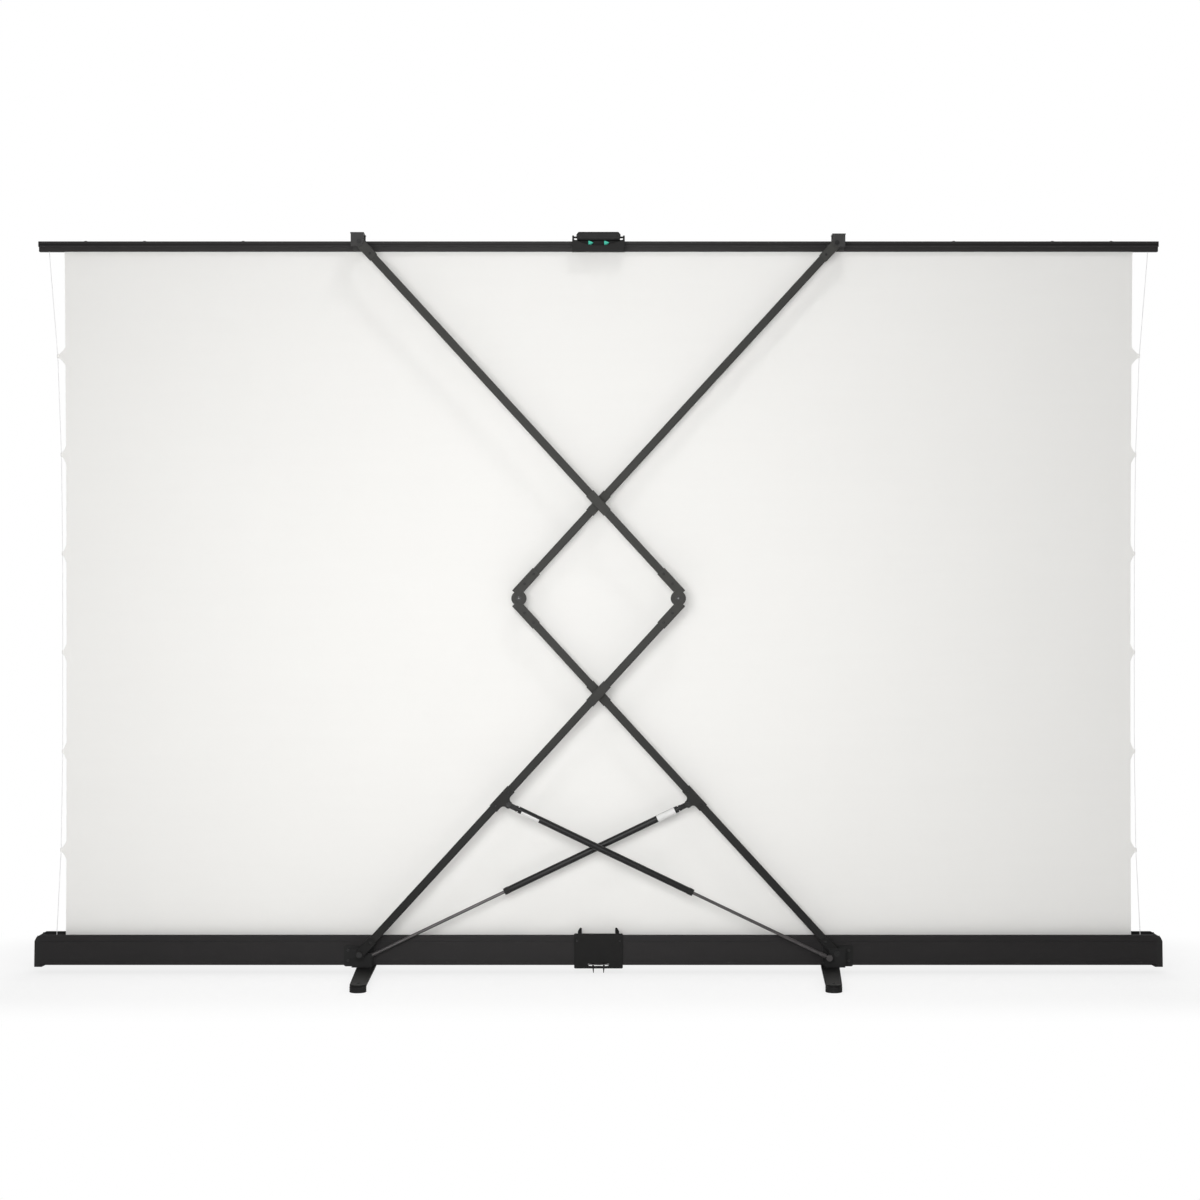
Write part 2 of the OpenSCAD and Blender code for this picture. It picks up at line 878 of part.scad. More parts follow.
module elbow_fitting(side, upper) {
    fork_t = (fit_t - tongue_t) / 2 - free;
    color([0.13, 0.13, 0.12])
    arm_frame(side, upper)
        difference() {
            union() {
                sleeve(arm_l - elbow_fit_l, elbow_end);
                intersection() {
                    sleeve(elbow_end - cut, arm_l);
                    along_y(-fit_t, fit_t)
                        shoulder_outline();
                }
                if (upper)
                    along_y(-tongue_t / 2, tongue_t / 2)
                        knuckle_outline();
                else
                    for (s = [-1, 1])
                        translate([0, s * (fit_t - fork_t) / 2, 0])
                            along_y(-fork_t / 2, fork_t / 2)
                                knuckle_outline();
            }
            socket(arm_l - elbow_fit_l - cut, tube_end + fit, fit);
            pin_y(elbow_pin_r + run, -fit_t, fit_t, arm_l, elbow_off);
        }
}

pin_head_t = 2;
elbow_rim = 1.5;
strut_rim = 2;

module elbow_pin(side) {
    r = elbow_pin_r + elbow_rim;
    color([0.5, 0.5, 0.5])
    arm_frame(side, false) {
        pin_y(elbow_pin_r, -fit_t / 2, fit_t / 2, arm_l, elbow_off);
        hex_head(r, -fit_t / 2 - pin_head_t, -fit_t / 2, arm_l, elbow_off);
        pin_y(r, fit_t / 2, fit_t / 2 + pin_head_t, arm_l, elbow_off);
    }
}

module coupler(side, upper) {
    boss_h = (layer_gap - free) / 2;
    color([0.13, 0.13, 0.12])
    arm_frame(side, upper)
        difference() {
            union() {
                sleeve(cross_s - coupler_l / 2, cross_s + coupler_l / 2);
                translate([0, inward(side) * (fit_t + boss_h) / 2, 0])
                    pin_y(coupler_boss_r, -boss_h / 2, boss_h / 2, cross_s);
            }
            socket(cross_s - coupler_l, cross_s + coupler_l, slide);
        }
}

// An ear under the arm: round at the pin, with a hollow flank on each side
ear_rim = 1;
flank_in = 0.2;

module saddle_ear_outline() {
    r = eye_r + ear_rim;
    flank_r = saddle_off - fit_w / 2;
    half = r + flank_r - flank_in;
    translate([saddle_s, -saddle_off]) {
        circle(r);
        difference() {
            translate([-half, 0])
                square([2 * half, flank_r + sleeve_edge]);
            for (s = [-1, 1])
                translate([s * half, 0])
                    circle(flank_r);
        }
    }
}

module strut_saddle(side) {
    ear_t = (fit_t - eye_t) / 2 - free;
    color([0.11, 0.11, 0.11])
    arm_frame(side, false)
        difference() {
            union() {
                sleeve(saddle_s - saddle_l / 2, saddle_s + saddle_l / 2);
                for (s = [-1, 1])
                    translate([0, s * (fit_t - ear_t) / 2, 0])
                        along_y(-ear_t / 2, ear_t / 2)
                            saddle_ear_outline();
            }
            socket(saddle_s - saddle_l, saddle_s + saddle_l, fit);
            pin_y(strut_pin_r + run, -fit_t, fit_t, saddle_s, -saddle_off);
        }
}

module strut_pin(side) {
    color([0.5, 0.5, 0.5])
    arm_frame(side, false) {
        pin_y(strut_pin_r, -fit_t / 2, fit_t / 2, saddle_s, -saddle_off);
        hex_head(strut_pin_r + strut_rim, -fit_t / 2 - pin_head_t, -fit_t / 2, saddle_s, -saddle_off);
    }
}

module left_lower_tube() { arm_tube(-1, false); }
module right_lower_tube() { arm_tube(1, false); }
module left_upper_tube() { arm_tube(-1, true); }
module right_upper_tube() { arm_tube(1, true); }
module left_lower_end_fitting() { end_fitting(-1, false, run); }
module right_lower_end_fitting() { end_fitting(1, false, run); }
module left_upper_end_fitting() { end_fitting(-1, true, run); }
module right_upper_end_fitting() { end_fitting(1, true, free); }
module left_lower_elbow() { elbow_fitting(-1, false); }
module right_lower_elbow() { elbow_fitting(1, false); }
module left_upper_elbow() { elbow_fitting(-1, true); }
module right_upper_elbow() { elbow_fitting(1, true); }
module left_lower_elbow_pin() { elbow_pin(-1); }
module right_lower_elbow_pin() { elbow_pin(1); }
module left_lower_coupler() { coupler(-1, false); }
module right_lower_coupler() { coupler(1, false); }
module left_upper_coupler() { coupler(-1, true); }
module right_upper_coupler() { coupler(1, true); }
module left_strut_saddle() { strut_saddle(-1); }
module right_strut_saddle() { strut_saddle(1); }
module left_strut_pin() { strut_pin(-1); }
module right_strut_pin() { strut_pin(1); }

// Gas struts: a flat eye, a collar, a groove, then the cylinder
cyl_wall = 1.5;
cyl_start = 28;
bore_start = 6;
gland_l = 13;
piston_l = 12;
piston_gap = 6;
eye_neck_w = 13;
collar_start = 20;
collar_l = 5.5;
collar_step = 0.9;
groove_step = 3;

module strut_cylinder(side) {
    color([0.1, 0.1, 0.1])
    strut_frame(side)
        difference() {
            union() {
                pin_y(eye_r, -eye_t / 2, eye_t / 2);
                along_y(-eye_t / 2, eye_t / 2)
                    translate([0, -eye_neck_w / 2])
                        square([collar_start + cut, eye_neck_w]);
                pin_x(cyl_r - collar_step, collar_start, collar_start + collar_l);
                pin_x(cyl_r - groove_step, collar_start + cut, cyl_start + cut);
                pin_x(cyl_r, cyl_start, cyl_end);
            }
            pin_y(strut_pin_r + run, -eye_t, eye_t);
            pin_x(cyl_r - cyl_wall, cyl_start + bore_start, cyl_end - gland_l);
            pin_x(rod_r + run, cyl_end - gland_l - cut, cyl_end + cut);
        }
}

rod_neck = 10;
rod_neck_step = 0.5;
rod_socket_l = 16;
rod_socket_wall = 1;
rod_head_t = 3;
rod_rim = 2.8;

module strut_rod(side) {
    rod_start = cyl_end - gland_l - piston_l - piston_gap;
    socket_end = strut_l - rod_neck;
    color([0.6, 0.6, 0.6])
    strut_frame(side) {
        difference() {
            union() {
                pin_x(rod_r, rod_start, socket_end - rod_socket_l / 2);
                pin_x(cyl_r - cyl_wall - fit, rod_start, rod_start + piston_l);
                pin_x(eye_t / 2 + rod_socket_wall, socket_end - rod_socket_l, socket_end);
                pin_x(eye_t / 2 - rod_neck_step, socket_end - cut, strut_l);
                pin_y(eye_r, -eye_t / 2, eye_t / 2, strut_l);
            }
            pin_y(strut_pin_r + run, -eye_t, eye_t, strut_l);
        }
        pin_y(strut_pin_r, -eye_t / 2, eye_t / 2, strut_l);
        hex_head(strut_pin_r + rod_rim, -eye_t / 2 - rod_head_t, -eye_t / 2, strut_l);
    }
}

module left_strut_cylinder() { strut_cylinder(-1); }
module right_strut_cylinder() { strut_cylinder(1); }
module left_strut_rod() { strut_rod(-1); }
module right_strut_rod() { strut_rod(1); }

// Top bar
bar_cap_t = 3;
bar_edge = 2.5;
chamber_edge = 1;
bar_groove = 0.8;
bar_groove_down = 6;
slot_gap = 0.4;
rib_roof = 4;
cloth_gap = 1;
cord_bore_gap = 1.3;

module bar_solid_outline() {
    translate([sheet_y, bar_bottom + (bar_h + rib_h) / 2])
        round_rect(bar_d, bar_h - rib_h, bar_edge);
    translate([sheet_y - rib_d / 2, bar_bottom])
        square([rib_d, rib_h + 2 * cut]);
}

// The profile has two chambers, a slot for the fabric's edge and a groove in each face
module bar_outline() {
    slot_w = fabric_t + 2 * slot_gap;
    difference() {
        bar_solid_outline();
        for (s = [-1, 1])
            translate([sheet_y + s * (bar_d - bar_wall) / 4, bar_bottom + (bar_h + rib_h) / 2])
                round_rect(bar_d / 2 - 1.5 * bar_wall, bar_h - rib_h - 2 * bar_wall, chamber_edge);
        translate([sheet_y - slot_w / 2, bar_bottom - cut])
            square([slot_w, rib_h - rib_roof + cut]);
        for (s = [-1, 1])
            translate([sheet_y + s * bar_d / 2, bar_top - bar_groove_down])
                square(2 * bar_groove, center = true);
    }
}

module top_bar() {
    color([0.18, 0.18, 0.18])
    difference() {
        along_x(-bar_end + bar_cap_t, bar_end - bar_cap_t)
            bar_outline();
        for (s = [-1, 1])
            translate([s * cord_x(bar_bottom), sheet_y, bar_bottom - cut])
                cylinder(r = cord_r + cord_bore_gap, h = rib_h + cut);
    }
}

module bar_end_caps() {
    color([0.12, 0.12, 0.12])
    for (s = [-1, 1])
        on_side(s)
            along_x(-bar_end, -bar_end + bar_cap_t)
                bar_solid_outline();
}

// A top bracket: a plate behind the bar, a roof, a hook over the bar and a cheek behind the arm
top_cheek_past = 5;
top_cheek_r = 10;
roof_t = 3;
roof_past = 1;
hook_l = 10;
hook_t = 2;
top_head_r = 6;

module top_bracket(side) {
    z1 = bar_top + top_cheek_up;
    y_out = side < 0 ? front_y - fit_t / 2 - cheek_gap - plate_t : cheek_y1;
    y_in = side < 0 ? y_out + plate_t : cheek_y0;
    y_boss = layer_y(side) + fit_t / 2 + free;
    x0 = -pivot_half - top_cheek_w / 2 - top_cheek_past;
    x1 = x0 + top_cheek_w;
    round_x = x1 - top_cheek_r - roof_past;
    color([0.14, 0.14, 0.14])
    on_side(side)
        difference() {
            union() {
                box(x0, x1, bar_rear - plate_t, bar_rear, bar_bottom, z1);
                box(x0 - roof_past, x1 + roof_past, y_out, bar_rear, z1, z1 + roof_t);
                box(x0, x1, bar_rear, bar_rear + hook_l, bar_top, bar_top + hook_t);
                along_y(y_out, y_in)
                    union() {
                        translate([x0, top_z])
                            square([top_cheek_w, z1 - top_z + cut]);
                        translate([x0, top_z - top_cheek_r])
                            square([round_x - x0, top_cheek_r + cut]);
                        translate([round_x, top_z])
                            circle(top_cheek_r);
                    }
                pin_y(boss_r, y_boss, bar_rear - plate_t, -pivot_half, top_z);
            }
            pin_y(pivot_pin_r + run, y_out - cut, bar_rear + cut, -pivot_half, top_z);
        }
}

module left_top_bracket() { top_bracket(-1); }
module right_top_bracket() { top_bracket(1); }

module top_pivot_pins() {
    y_left = front_y - fit_t / 2 - cheek_gap - plate_t;
    color([0.45, 0.45, 0.45]) {
        pin_y(pivot_pin_r, y_left, bar_rear - end_gap, -pivot_half, top_z);
        hex_head(top_head_r, y_left - pin_head_t, y_left, -pivot_half, top_z);
        pin_y(pivot_pin_r, cheek_y1, bar_rear - end_gap, pivot_half, top_z);
        hex_head(top_head_r, cheek_y1 - pin_head_t, cheek_y1, pivot_half, top_z);
    }
}

// Handle: the saddle hooks round the bar, and a low wall closes the gap behind the grip
saddle_half = saddle_w / 2;
saddle_rear = case_rear - 3.5;
saddle_wall = 3;
saddle_front = bar_rear + 16.5;
saddle_bottom = bar_bottom - 3;
saddle_top = bar_top + 2;
cavity_floor = bar_bottom + 3;
inner_wall = 2;
front_wall = 2.5;
front_wall_up = 5.5;
slot_side = 1.5;
slot_rear = 0.4;
slot_roof = 4;
saddle_ear_t = 4.5;
saddle_ear_r = 5;
grip_y = saddle_rear + 17.5;
grip_low = bar_top + 1.5;
grip_z = grip_low + grip_edge;
grip_chamfer = 6;
grip_side = 2;
pin_cover = 1;
bumper_in = 0.5;
bumper_gap = 1.8;
smile_half = saddle_half - saddle_ear_t;
smile_r = (pow(smile_half, 2) + pow(smile_h, 2)) / (2 * smile_h);

module handle_saddle() {
    color([0.17, 0.17, 0.17])
    difference() {
        union() {
            box(-saddle_half, saddle_half, saddle_rear, saddle_front, saddle_bottom, saddle_top);
            box(-smile_half - cut, smile_half + cut, saddle_front - front_wall, saddle_front,
                saddle_top - cut, bar_top + front_wall_up);
            for (s = [-1, 1])
                on_side(s)
                    along_x(-saddle_half, -saddle_half + saddle_ear_t) {
                        translate([grip_y, grip_z])
                            circle(saddle_ear_r);
                        translate([grip_y - saddle_ear_r, saddle_top - cut])
                            square([2 * saddle_ear_r, grip_z - saddle_top + cut]);
                    }
        }
        along_x(-saddle_half - cut, saddle_half + cut)
            translate([sheet_y - bar_d / 2, saddle_bottom - cut])
                square([bar_d, bar_top - saddle_bottom + cut]);
        box(-smile_half, smile_half, saddle_rear + saddle_wall, bar_rear - inner_wall,
            cavity_floor, saddle_top + cut);
        box(-smile_half, smile_half, bar_rear - inner_wall - cut, saddle_front - front_wall,
            bar_top, saddle_top + cut);
        along_y(saddle_rear - cut, saddle_rear + saddle_wall + cut)
            intersection() {
                translate([0, saddle_top - smile_h + smile_r])
                    circle(smile_r, $fn = 120);
                translate([-smile_half, saddle_top - smile_h])
                    square([2 * smile_half, smile_h + cut]);
            }
        for (s = [-1, 1])
            on_side(s)
                box(-tongue_x - tongue_w - slot_side, -tongue_x + latch_travel + slot_side,
                    blade_y0 - blade_t - slot_rear, saddle_rear + saddle_wall + cut,
                    saddle_bottom - cut, saddle_top - slot_roof);
        pin_x(grip_pin_r + run, -saddle_half - cut, saddle_half + cut, grip_y, grip_z);
    }
}

module handle_bumpers() {
    color([0.27, 0.72, 0.6])
    for (s = [-1, 1])
        translate([s * bumper_x, saddle_rear + saddle_wall + bumper_r + bumper_in, cavity_floor])
            cylinder(r = bumper_r, h = grip_low - bumper_gap - cavity_floor);
}

module handle_grip() {
    half = grip_w / 2;
    top = grip_low + grip_h;
    chamfer_z = top - grip_chamfer - grip_side;
    color([0.2, 0.2, 0.2])
    union() {
        intersection() {
            along_x(-half, half)
                translate([grip_y, grip_low + grip_h / 2])
                    round_rect(grip_d, grip_h, grip_edge);
            along_y(grip_y - grip_d, grip_y + grip_d)
                polygon([
                    [-half + grip_side, grip_low], [half - grip_side, grip_low], [half, chamfer_z],
                    [half - grip_chamfer, top], [-half + grip_chamfer, top], [-half, chamfer_z]
                ]);
        }
        pin_x(grip_pin_r, -saddle_half + pin_cover, saddle_half - pin_cover, grip_y, grip_z);
    }
}

// Screen
hem_gap = 0.5;
hem_r = cord_r + hem_gap + 0.8;
hem_h = 10;

module projection_screen() {
    color([0.96, 0.96, 0.95])
    box(-fabric_w / 2, fabric_w / 2, sheet_y - fabric_t / 2, sheet_y + fabric_t / 2,
        roller_z, bar_bottom + rib_h - rib_roof - cloth_gap);
}

// A tab reaches from the fabric's edge to a small hem around the cord
module side_tabs() {
    color([0.95, 0.95, 0.94])
    for (s = [-1, 1], i = [0:tab_count - 1])
        on_side(s)
            translate([-cord_x(tab_z(i)), sheet_y, tab_z(i)])
                difference() {
                    union() {
                        along_y(-fabric_t / 2, fabric_t / 2)
                            tab_outline(cord_x(tab_z(i)) - fabric_w / 2);
                        translate([0, 0, -hem_h / 2])
                            cylinder(r = hem_r, h = hem_h);
                    }
                    translate([0, 0, -tab_w])
                        cylinder(r = cord_r + hem_gap, h = 2 * tab_w);
                }
}

module tab_outline(reach) {
    polygon([[reach, -tab_w / 2], [reach, tab_w / 2], [0, hem_h / 2], [0, -hem_h / 2]]);
}

// One tube of 8 sides through a list of (x, z) points
module tube_along(points, r) {
    sides = 8;
    n = len(points);
    function ring(i) = let (
            a = points[max(i - 1, 0)], b = points[min(i + 1, n - 1)],
            d = (b - a) / norm(b - a)
        )
        [for (k = [0:sides - 1]) let (t = 360 * k / sides)
            [points[i].x - d.y * r * cos(t), r * sin(t), points[i].y + d.x * r * cos(t)]];
    polyhedron(
        points = [for (i = [0:n - 1]) each ring(i)],
        faces = concat(
            [[for (k = [0:sides - 1]) k]],
            [for (i = [0:n - 2], k = [0:sides - 1]) let (m = (k + 1) % sides)
                [i * sides + m, i * sides + k, (i + 1) * sides + k]],
            [for (i = [0:n - 2], k = [0:sides - 1]) let (m = (k + 1) % sides)
                [i * sides + m, (i + 1) * sides + k, (i + 1) * sides + m]],
            [[for (k = [sides - 1:-1:0]) (n - 1) * sides + k]]
        )
    );
}

module tension_cords() {
    color([0.97, 0.97, 0.96])
    for (s = [-1, 1])
        on_side(s)
            translate([0, sheet_y, 0])
                tube_along([for (p = cord_points) [-p.x, p.y]], cord_r);
}

case_extrusion();
left_end_cap();
right_end_cap();
case_screws();
roller_brackets();
roller_shafts();
latch_cover();
latch_spring();
left_base_bracket();
right_base_bracket();
base_pivot_pins();
foot_bolts();
roller_tube();
roller_plugs();
rolled_fabric();
roller_spring();
left_foot_bar();
right_foot_bar();
left_foot_pads();
right_foot_pads();
left_lower_tube();
left_lower_end_fitting();
left_lower_elbow();
right_lower_tube();
right_lower_end_fitting();
right_lower_elbow();
left_upper_tube();
left_upper_end_fitting();
left_upper_elbow();
right_upper_tube();
right_upper_end_fitting();
right_upper_elbow();
left_lower_elbow_pin();
right_lower_elbow_pin();
left_lower_coupler();
right_lower_coupler();
left_upper_coupler();
right_upper_coupler();
left_strut_saddle();
right_strut_saddle();
left_strut_pin();
right_strut_pin();
left_strut_cylinder();
right_strut_cylinder();
left_strut_rod();
right_strut_rod();
top_bar();
bar_end_caps();
left_top_bracket();
right_top_bracket();
top_pivot_pins();
handle_saddle();
handle_bumpers();
handle_grip();
left_latch();
right_latch();
projection_screen();
side_tabs();
tension_cords();
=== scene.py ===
import json
import math

import bmesh
import bpy
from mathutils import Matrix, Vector


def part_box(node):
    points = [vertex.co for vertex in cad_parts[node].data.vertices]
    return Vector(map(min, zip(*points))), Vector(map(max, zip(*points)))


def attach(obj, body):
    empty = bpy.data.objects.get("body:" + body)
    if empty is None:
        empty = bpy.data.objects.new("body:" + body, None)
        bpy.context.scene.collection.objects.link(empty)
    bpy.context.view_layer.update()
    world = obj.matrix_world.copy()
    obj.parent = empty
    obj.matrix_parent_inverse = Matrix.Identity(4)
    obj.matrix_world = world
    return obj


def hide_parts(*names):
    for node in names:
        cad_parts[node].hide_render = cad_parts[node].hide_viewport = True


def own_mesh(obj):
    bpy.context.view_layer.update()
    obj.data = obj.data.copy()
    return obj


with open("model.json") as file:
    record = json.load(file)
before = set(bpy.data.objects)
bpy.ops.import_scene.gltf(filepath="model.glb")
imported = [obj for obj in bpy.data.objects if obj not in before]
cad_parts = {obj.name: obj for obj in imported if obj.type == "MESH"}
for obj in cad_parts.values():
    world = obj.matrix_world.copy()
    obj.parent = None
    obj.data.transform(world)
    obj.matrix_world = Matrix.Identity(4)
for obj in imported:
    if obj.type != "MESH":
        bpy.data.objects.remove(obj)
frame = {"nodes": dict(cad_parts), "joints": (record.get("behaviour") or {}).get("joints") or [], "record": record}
nodes = frame["nodes"]
joints = {joint["name"]: joint for joint in frame["joints"]}
sides = ("left", "right")
levels = ("lower", "upper")
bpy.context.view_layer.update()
print("frame loaded:", len(nodes), "nodes")


# A socket in a finish's node tree. Sums with it add Math nodes.
class Value:
    def __init__(self, finish, socket):
        self.finish = finish
        self.socket = socket

    def maths(self, operation, *others):
        numbers = dict(enumerate((self, *others)))
        return self.finish.node("ShaderNodeMath", {"operation": operation}, numbers)

    def __add__(self, other):
        return self.maths("ADD", other)

    def __sub__(self, other):
        return self.maths("SUBTRACT", other)

    def __rsub__(self, other):
        return self.finish.node("ShaderNodeMath", {"operation": "SUBTRACT"}, {0: other, 1: self})

    def __mul__(self, other):
        return self.maths("MULTIPLY", other)

    def __pow__(self, other):
        return self.maths("POWER", other)

    __radd__ = __add__
    __rmul__ = __mul__


softEdge = 0.0006  # metres over which a painted line fades


# The node tree of a material or of the world
class Finish:
    def __init__(self, owner, surface="Principled BSDF"):
        owner.use_nodes = True
        self.material = owner
        self.tree = owner.node_tree
        self.surface = self.tree.nodes[surface]

    # Any node: its settings first, then the values or links of its sockets. Gives one output.
    def node(self, kind, settings=None, sockets=None, out=0):
        made = self.tree.nodes.new(kind)
        for name, value in (settings or {}).items():
            if name == "stops":
                ramp = made.color_ramp
                while len(ramp.elements) < len(value):
                    ramp.elements.new(0.5)
                for element, (place, level) in zip(ramp.elements, value):
                    element.position = place
                    element.color = (level, level, level, 1)
            else:
                setattr(made, name, value)
        self.fill(made, sockets or {})
        return Value(self, made.outputs[out])

    # Sockets by name or number: a Value is linked, anything else is set
    def fill(self, made, sockets):
        for name, value in sockets.items():
            if isinstance(value, Value):
                self.tree.links.new(value.socket, made.inputs[name])
            else:
                made.inputs[name].default_value = value

    # The shader's own sockets, with _ for each space in a name
    def set(self, **sockets):
        self.fill(self.surface, {name.replace("_", " "): value for name, value in sockets.items()})

    def place(self):
        return self.node("ShaderNodeTexCoord", out="Object")

    def split(self, vector):
        parts = self.node("ShaderNodeSeparateXYZ", {}, {0: vector}).socket.node
        return [Value(self, part) for part in parts.outputs]

    def noise(self, scale, detail=2.0, rough=0.5, vector=None, stretch=None):
        where = vector or self.place()
        if stretch:
            where = self.node("ShaderNodeMapping", {}, {"Vector": where, "Scale": stretch})
        return self.node("ShaderNodeTexNoise", {},
                         {"Vector": where, "Scale": scale, "Detail": detail, "Roughness": rough}, out="Fac")

    def ramp(self, mask, *stops):
        return self.node("ShaderNodeValToRGB", {"stops": stops}, {"Fac": mask}, out="Color")

    # A soft step of a number between two limits
    def step(self, number, low, high):
        return self.node("ShaderNodeMapRange", {"interpolation_type": "SMOOTHSTEP"},
                         {"Value": number, "From Min": low, "From Max": high})

    # 1 between two heights and 0 outside them
    def within(self, number, low, high):
        return self.step(number, low, low + softEdge) * self.step(high - number, 0, softEdge)

    def blend(self, mask, first, second):
        return self.node("ShaderNodeMix", {"data_type": "RGBA"}, {0: mask, 6: first, 7: second}, out=2)

    def bump(self, height, depth, strength=1.0):
        return self.node("ShaderNodeBump", {}, {"Height": height, "Distance": depth, "Strength": strength},
                         out="Normal")


def newFinish(name):
    return Finish(bpy.data.materials.new(name))


def rgb(red, green, blue):
    return (red, green, blue, 1)


def grey(level, warm=0.0):
    return (level * (1 + warm), level, level * (1 - warm), 1)


# Dust lies on what faces up, in soft patches
dustLook = {"faceUp": 0.55, "patches": 9, "onPaint": grey(0.12, 0.04), "onPlastic": grey(0.11, 0.03)}


def dustOf(finish, amount):
    up = finish.split(finish.node("ShaderNodeNewGeometry", out="Normal"))[2]
    return finish.step(up, dustLook["faceUp"], 1.0) * finish.noise(dustLook["patches"], detail=3) * amount


# Painted shade: the frame's paint and plastic are painted darker near the floor than from the elbows up, standing
# in for the weaker light there. Heights in metres.
paintedShadeHeights = {"lowZ": 0.12, "highZ": 0.95}


# Painted shade: blends from the shaded tone near the floor to the lit tone above the elbows
def paintedShadeByHeight(finish, low, high):
    z = finish.split(finish.place())[2]
    return finish.blend(finish.step(z, paintedShadeHeights["lowZ"], paintedShadeHeights["highZ"]), low, high)


# A paint is one colour, or a list of two: a tone with painted shade near the floor and a lit tone above the
# elbows. It is lighter in patches.
def paintOf(finish, colour, patches, lighter=1.25):
    toneOrShadedPair = colour if isinstance(colour, list) else [colour]
    worn = [rgb(*(part * lighter for part in tone[:3])) for tone in toneOrShadedPair]
    if len(toneOrShadedPair) == 2:
        return finish.blend(patches, paintedShadeByHeight(finish, *toneOrShadedPair), paintedShadeByHeight(finish, *worn))
    return finish.blend(patches, toneOrShadedPair[0], worn[0])


# Paint with an orange peel. Fine is the peel's scale and depth its height in metres.
def powderCoat(name, colour, roughness, fine=900, depth=0.00006, gloss=0.25, dusty=0.15, grooveShadeBand=None):
    finish = newFinish(name)
    peel = finish.noise(fine, detail=2, rough=0.6)
    dust = dustOf(finish, dusty)
    base = paintOf(finish, colour, finish.noise(scale=7, detail=3, rough=0.6))
    # Painted shade: a darker band between two heights
    if grooveShadeBand:
        z = finish.split(finish.place())[2]
        base = finish.blend(finish.within(z, grooveShadeBand["low"], grooveShadeBand["high"]) * grooveShadeBand["share"], base, grooveShadeBand["colour"])
    uneven = finish.step(peel, low=0.1, high=0.9) * 0.16 + roughness
    finish.set(Base_Color=finish.blend(dust, base, dustLook["onPaint"]), Roughness=uneven + dust * 0.2,
               Normal=finish.bump(peel, depth, strength=0.6), Specular_IOR_Level=gloss)
    return finish.material


# Plastic with a moulded grain, and a cloudy gloss from the flow in the mould
def mouldedPlastic(name, colour, roughness, gloss=0.25):
    finish = newFinish(name)
    grain = finish.node("ShaderNodeTexVoronoi", {"feature": "SMOOTH_F1"},
                        {"Vector": finish.place(), "Scale": 1300, "Smoothness": 0.6}, out="Distance")
    flow = finish.noise(scale=30, detail=3, rough=0.55)
    base = finish.blend(dustOf(finish, 0.2), paintOf(finish, colour, flow), dustLook["onPlastic"])
    finish.set(Base_Color=base, Roughness=flow * 0.12 + grain * 0.1 + roughness,
               Normal=finish.bump(grain, depth=0.00005, strength=0.5), Specular_IOR_Level=gloss)
    return finish.material


def rubber(name, colour, worn, roughness):
    finish = newFinish(name)
    grain = finish.noise(scale=1600, detail=3, rough=0.65)
    scuff = finish.ramp(finish.noise(scale=60, detail=4, rough=0.7), (0.45, 0.0), (0.75, 1.0))
    finish.set(Base_Color=finish.blend(scuff * 0.7, colour, worn), Roughness=grain * 0.2 + roughness,
               Normal=finish.bump(grain, depth=0.00008, strength=0.7), Specular_IOR_Level=0.3)
    return finish.material


# Metal with fine lines. They run along the axis that has the smallest number.
def brushedSteel(name, colour, shade, roughness, along=(1, 1, 1)):
    finish = newFinish(name)
    lines = finish.noise(scale=700, detail=3, rough=0.7, stretch=along)
    cloud = finish.noise(scale=45, detail=3)
    finish.set(Base_Color=finish.blend(cloud, colour, shade), Roughness=lines * 0.22 + roughness,
               Metallic=1.0, Normal=finish.bump(lines, depth=0.00003, strength=0.4))
    return finish.material


# Woven cloth with slubs. With a border's colour, the image's area alone is white.
def screenCloth(name, white, shade, border=None):
    finish = newFinish(name)
    flat = finish.node("ShaderNodeUVMap", out="UV")
    across, up = finish.split(flat)[:2]
    turns = 2 * math.pi / cloth["thread"]
    weave = (across * turns).maths("SINE") * (up * turns).maths("SINE")
    slub = finish.noise(scale=3, detail=4, rough=0.6, vector=flat, stretch=(1, 14, 1))
    cloud = finish.noise(scale=1.7, detail=3, rough=0.55, vector=flat)
    tone = finish.blend(cloud * 0.5 + slub * 0.5, white, shade)
    if border:
        image = finish.step(cloth["imageHalf"] - across.maths("ABSOLUTE"), 0, softEdge)
        image = image * finish.within(up, cloth["imageLow"], cloth["imageLow"] + cloth["imageTall"])
        tone = finish.blend(image, border, tone)
    finish.set(Base_Color=tone, Roughness=0.86, Normal=finish.bump(weave, depth=0.00005, strength=0.35),
               Specular_IOR_Level=0.25)
    return finish.material


def braid(name, white, shade):
    finish = newFinish(name)
    lay = finish.node("ShaderNodeTexWave", {"wave_type": "BANDS", "bands_direction": "DIAGONAL"},
                      {"Vector": finish.place(), "Scale": 420, "Distortion": 1.5}, out="Fac")
    finish.set(Base_Color=finish.blend(lay, shade, white), Roughness=0.8,
               Normal=finish.bump(lay, depth=0.0002, strength=0.6))
    return finish.material


# The cloth, in metres: half its width at the bar and at its waist, its weave, and the white image's area
cloth = {
    "halfTop": 1.3545, "halfWaist": 1.3495, "waistZ": 0.72, "thick": 0.0005,
    "columns": 180, "rows": 120, "thread": 0.0009,
    "imageHalf": 1.3285, "imageLow": 0.305, "imageTall": 1.494,
}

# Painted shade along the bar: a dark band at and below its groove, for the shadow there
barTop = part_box("top_bar")[1].z
barGroovePaintedShade = {"low": barTop - 0.0115, "high": barTop - 0.006, "share": 0.85, "colour": grey(0.003)}

# Pairs of colours, shaded and lit copies of one paint: near the floor with painted shade, and above the elbows
armLitAndShadedTones = [rgb(0.009, 0.0088, 0.0084), rgb(0.036, 0.0354, 0.033)]
bracketLitAndShadedTones = [grey(0.007), grey(0.039, 0.02)]
fittingLitAndShadedTones = [rgb(0.006, 0.0059, 0.0056), rgb(0.044, 0.0434, 0.0405)]

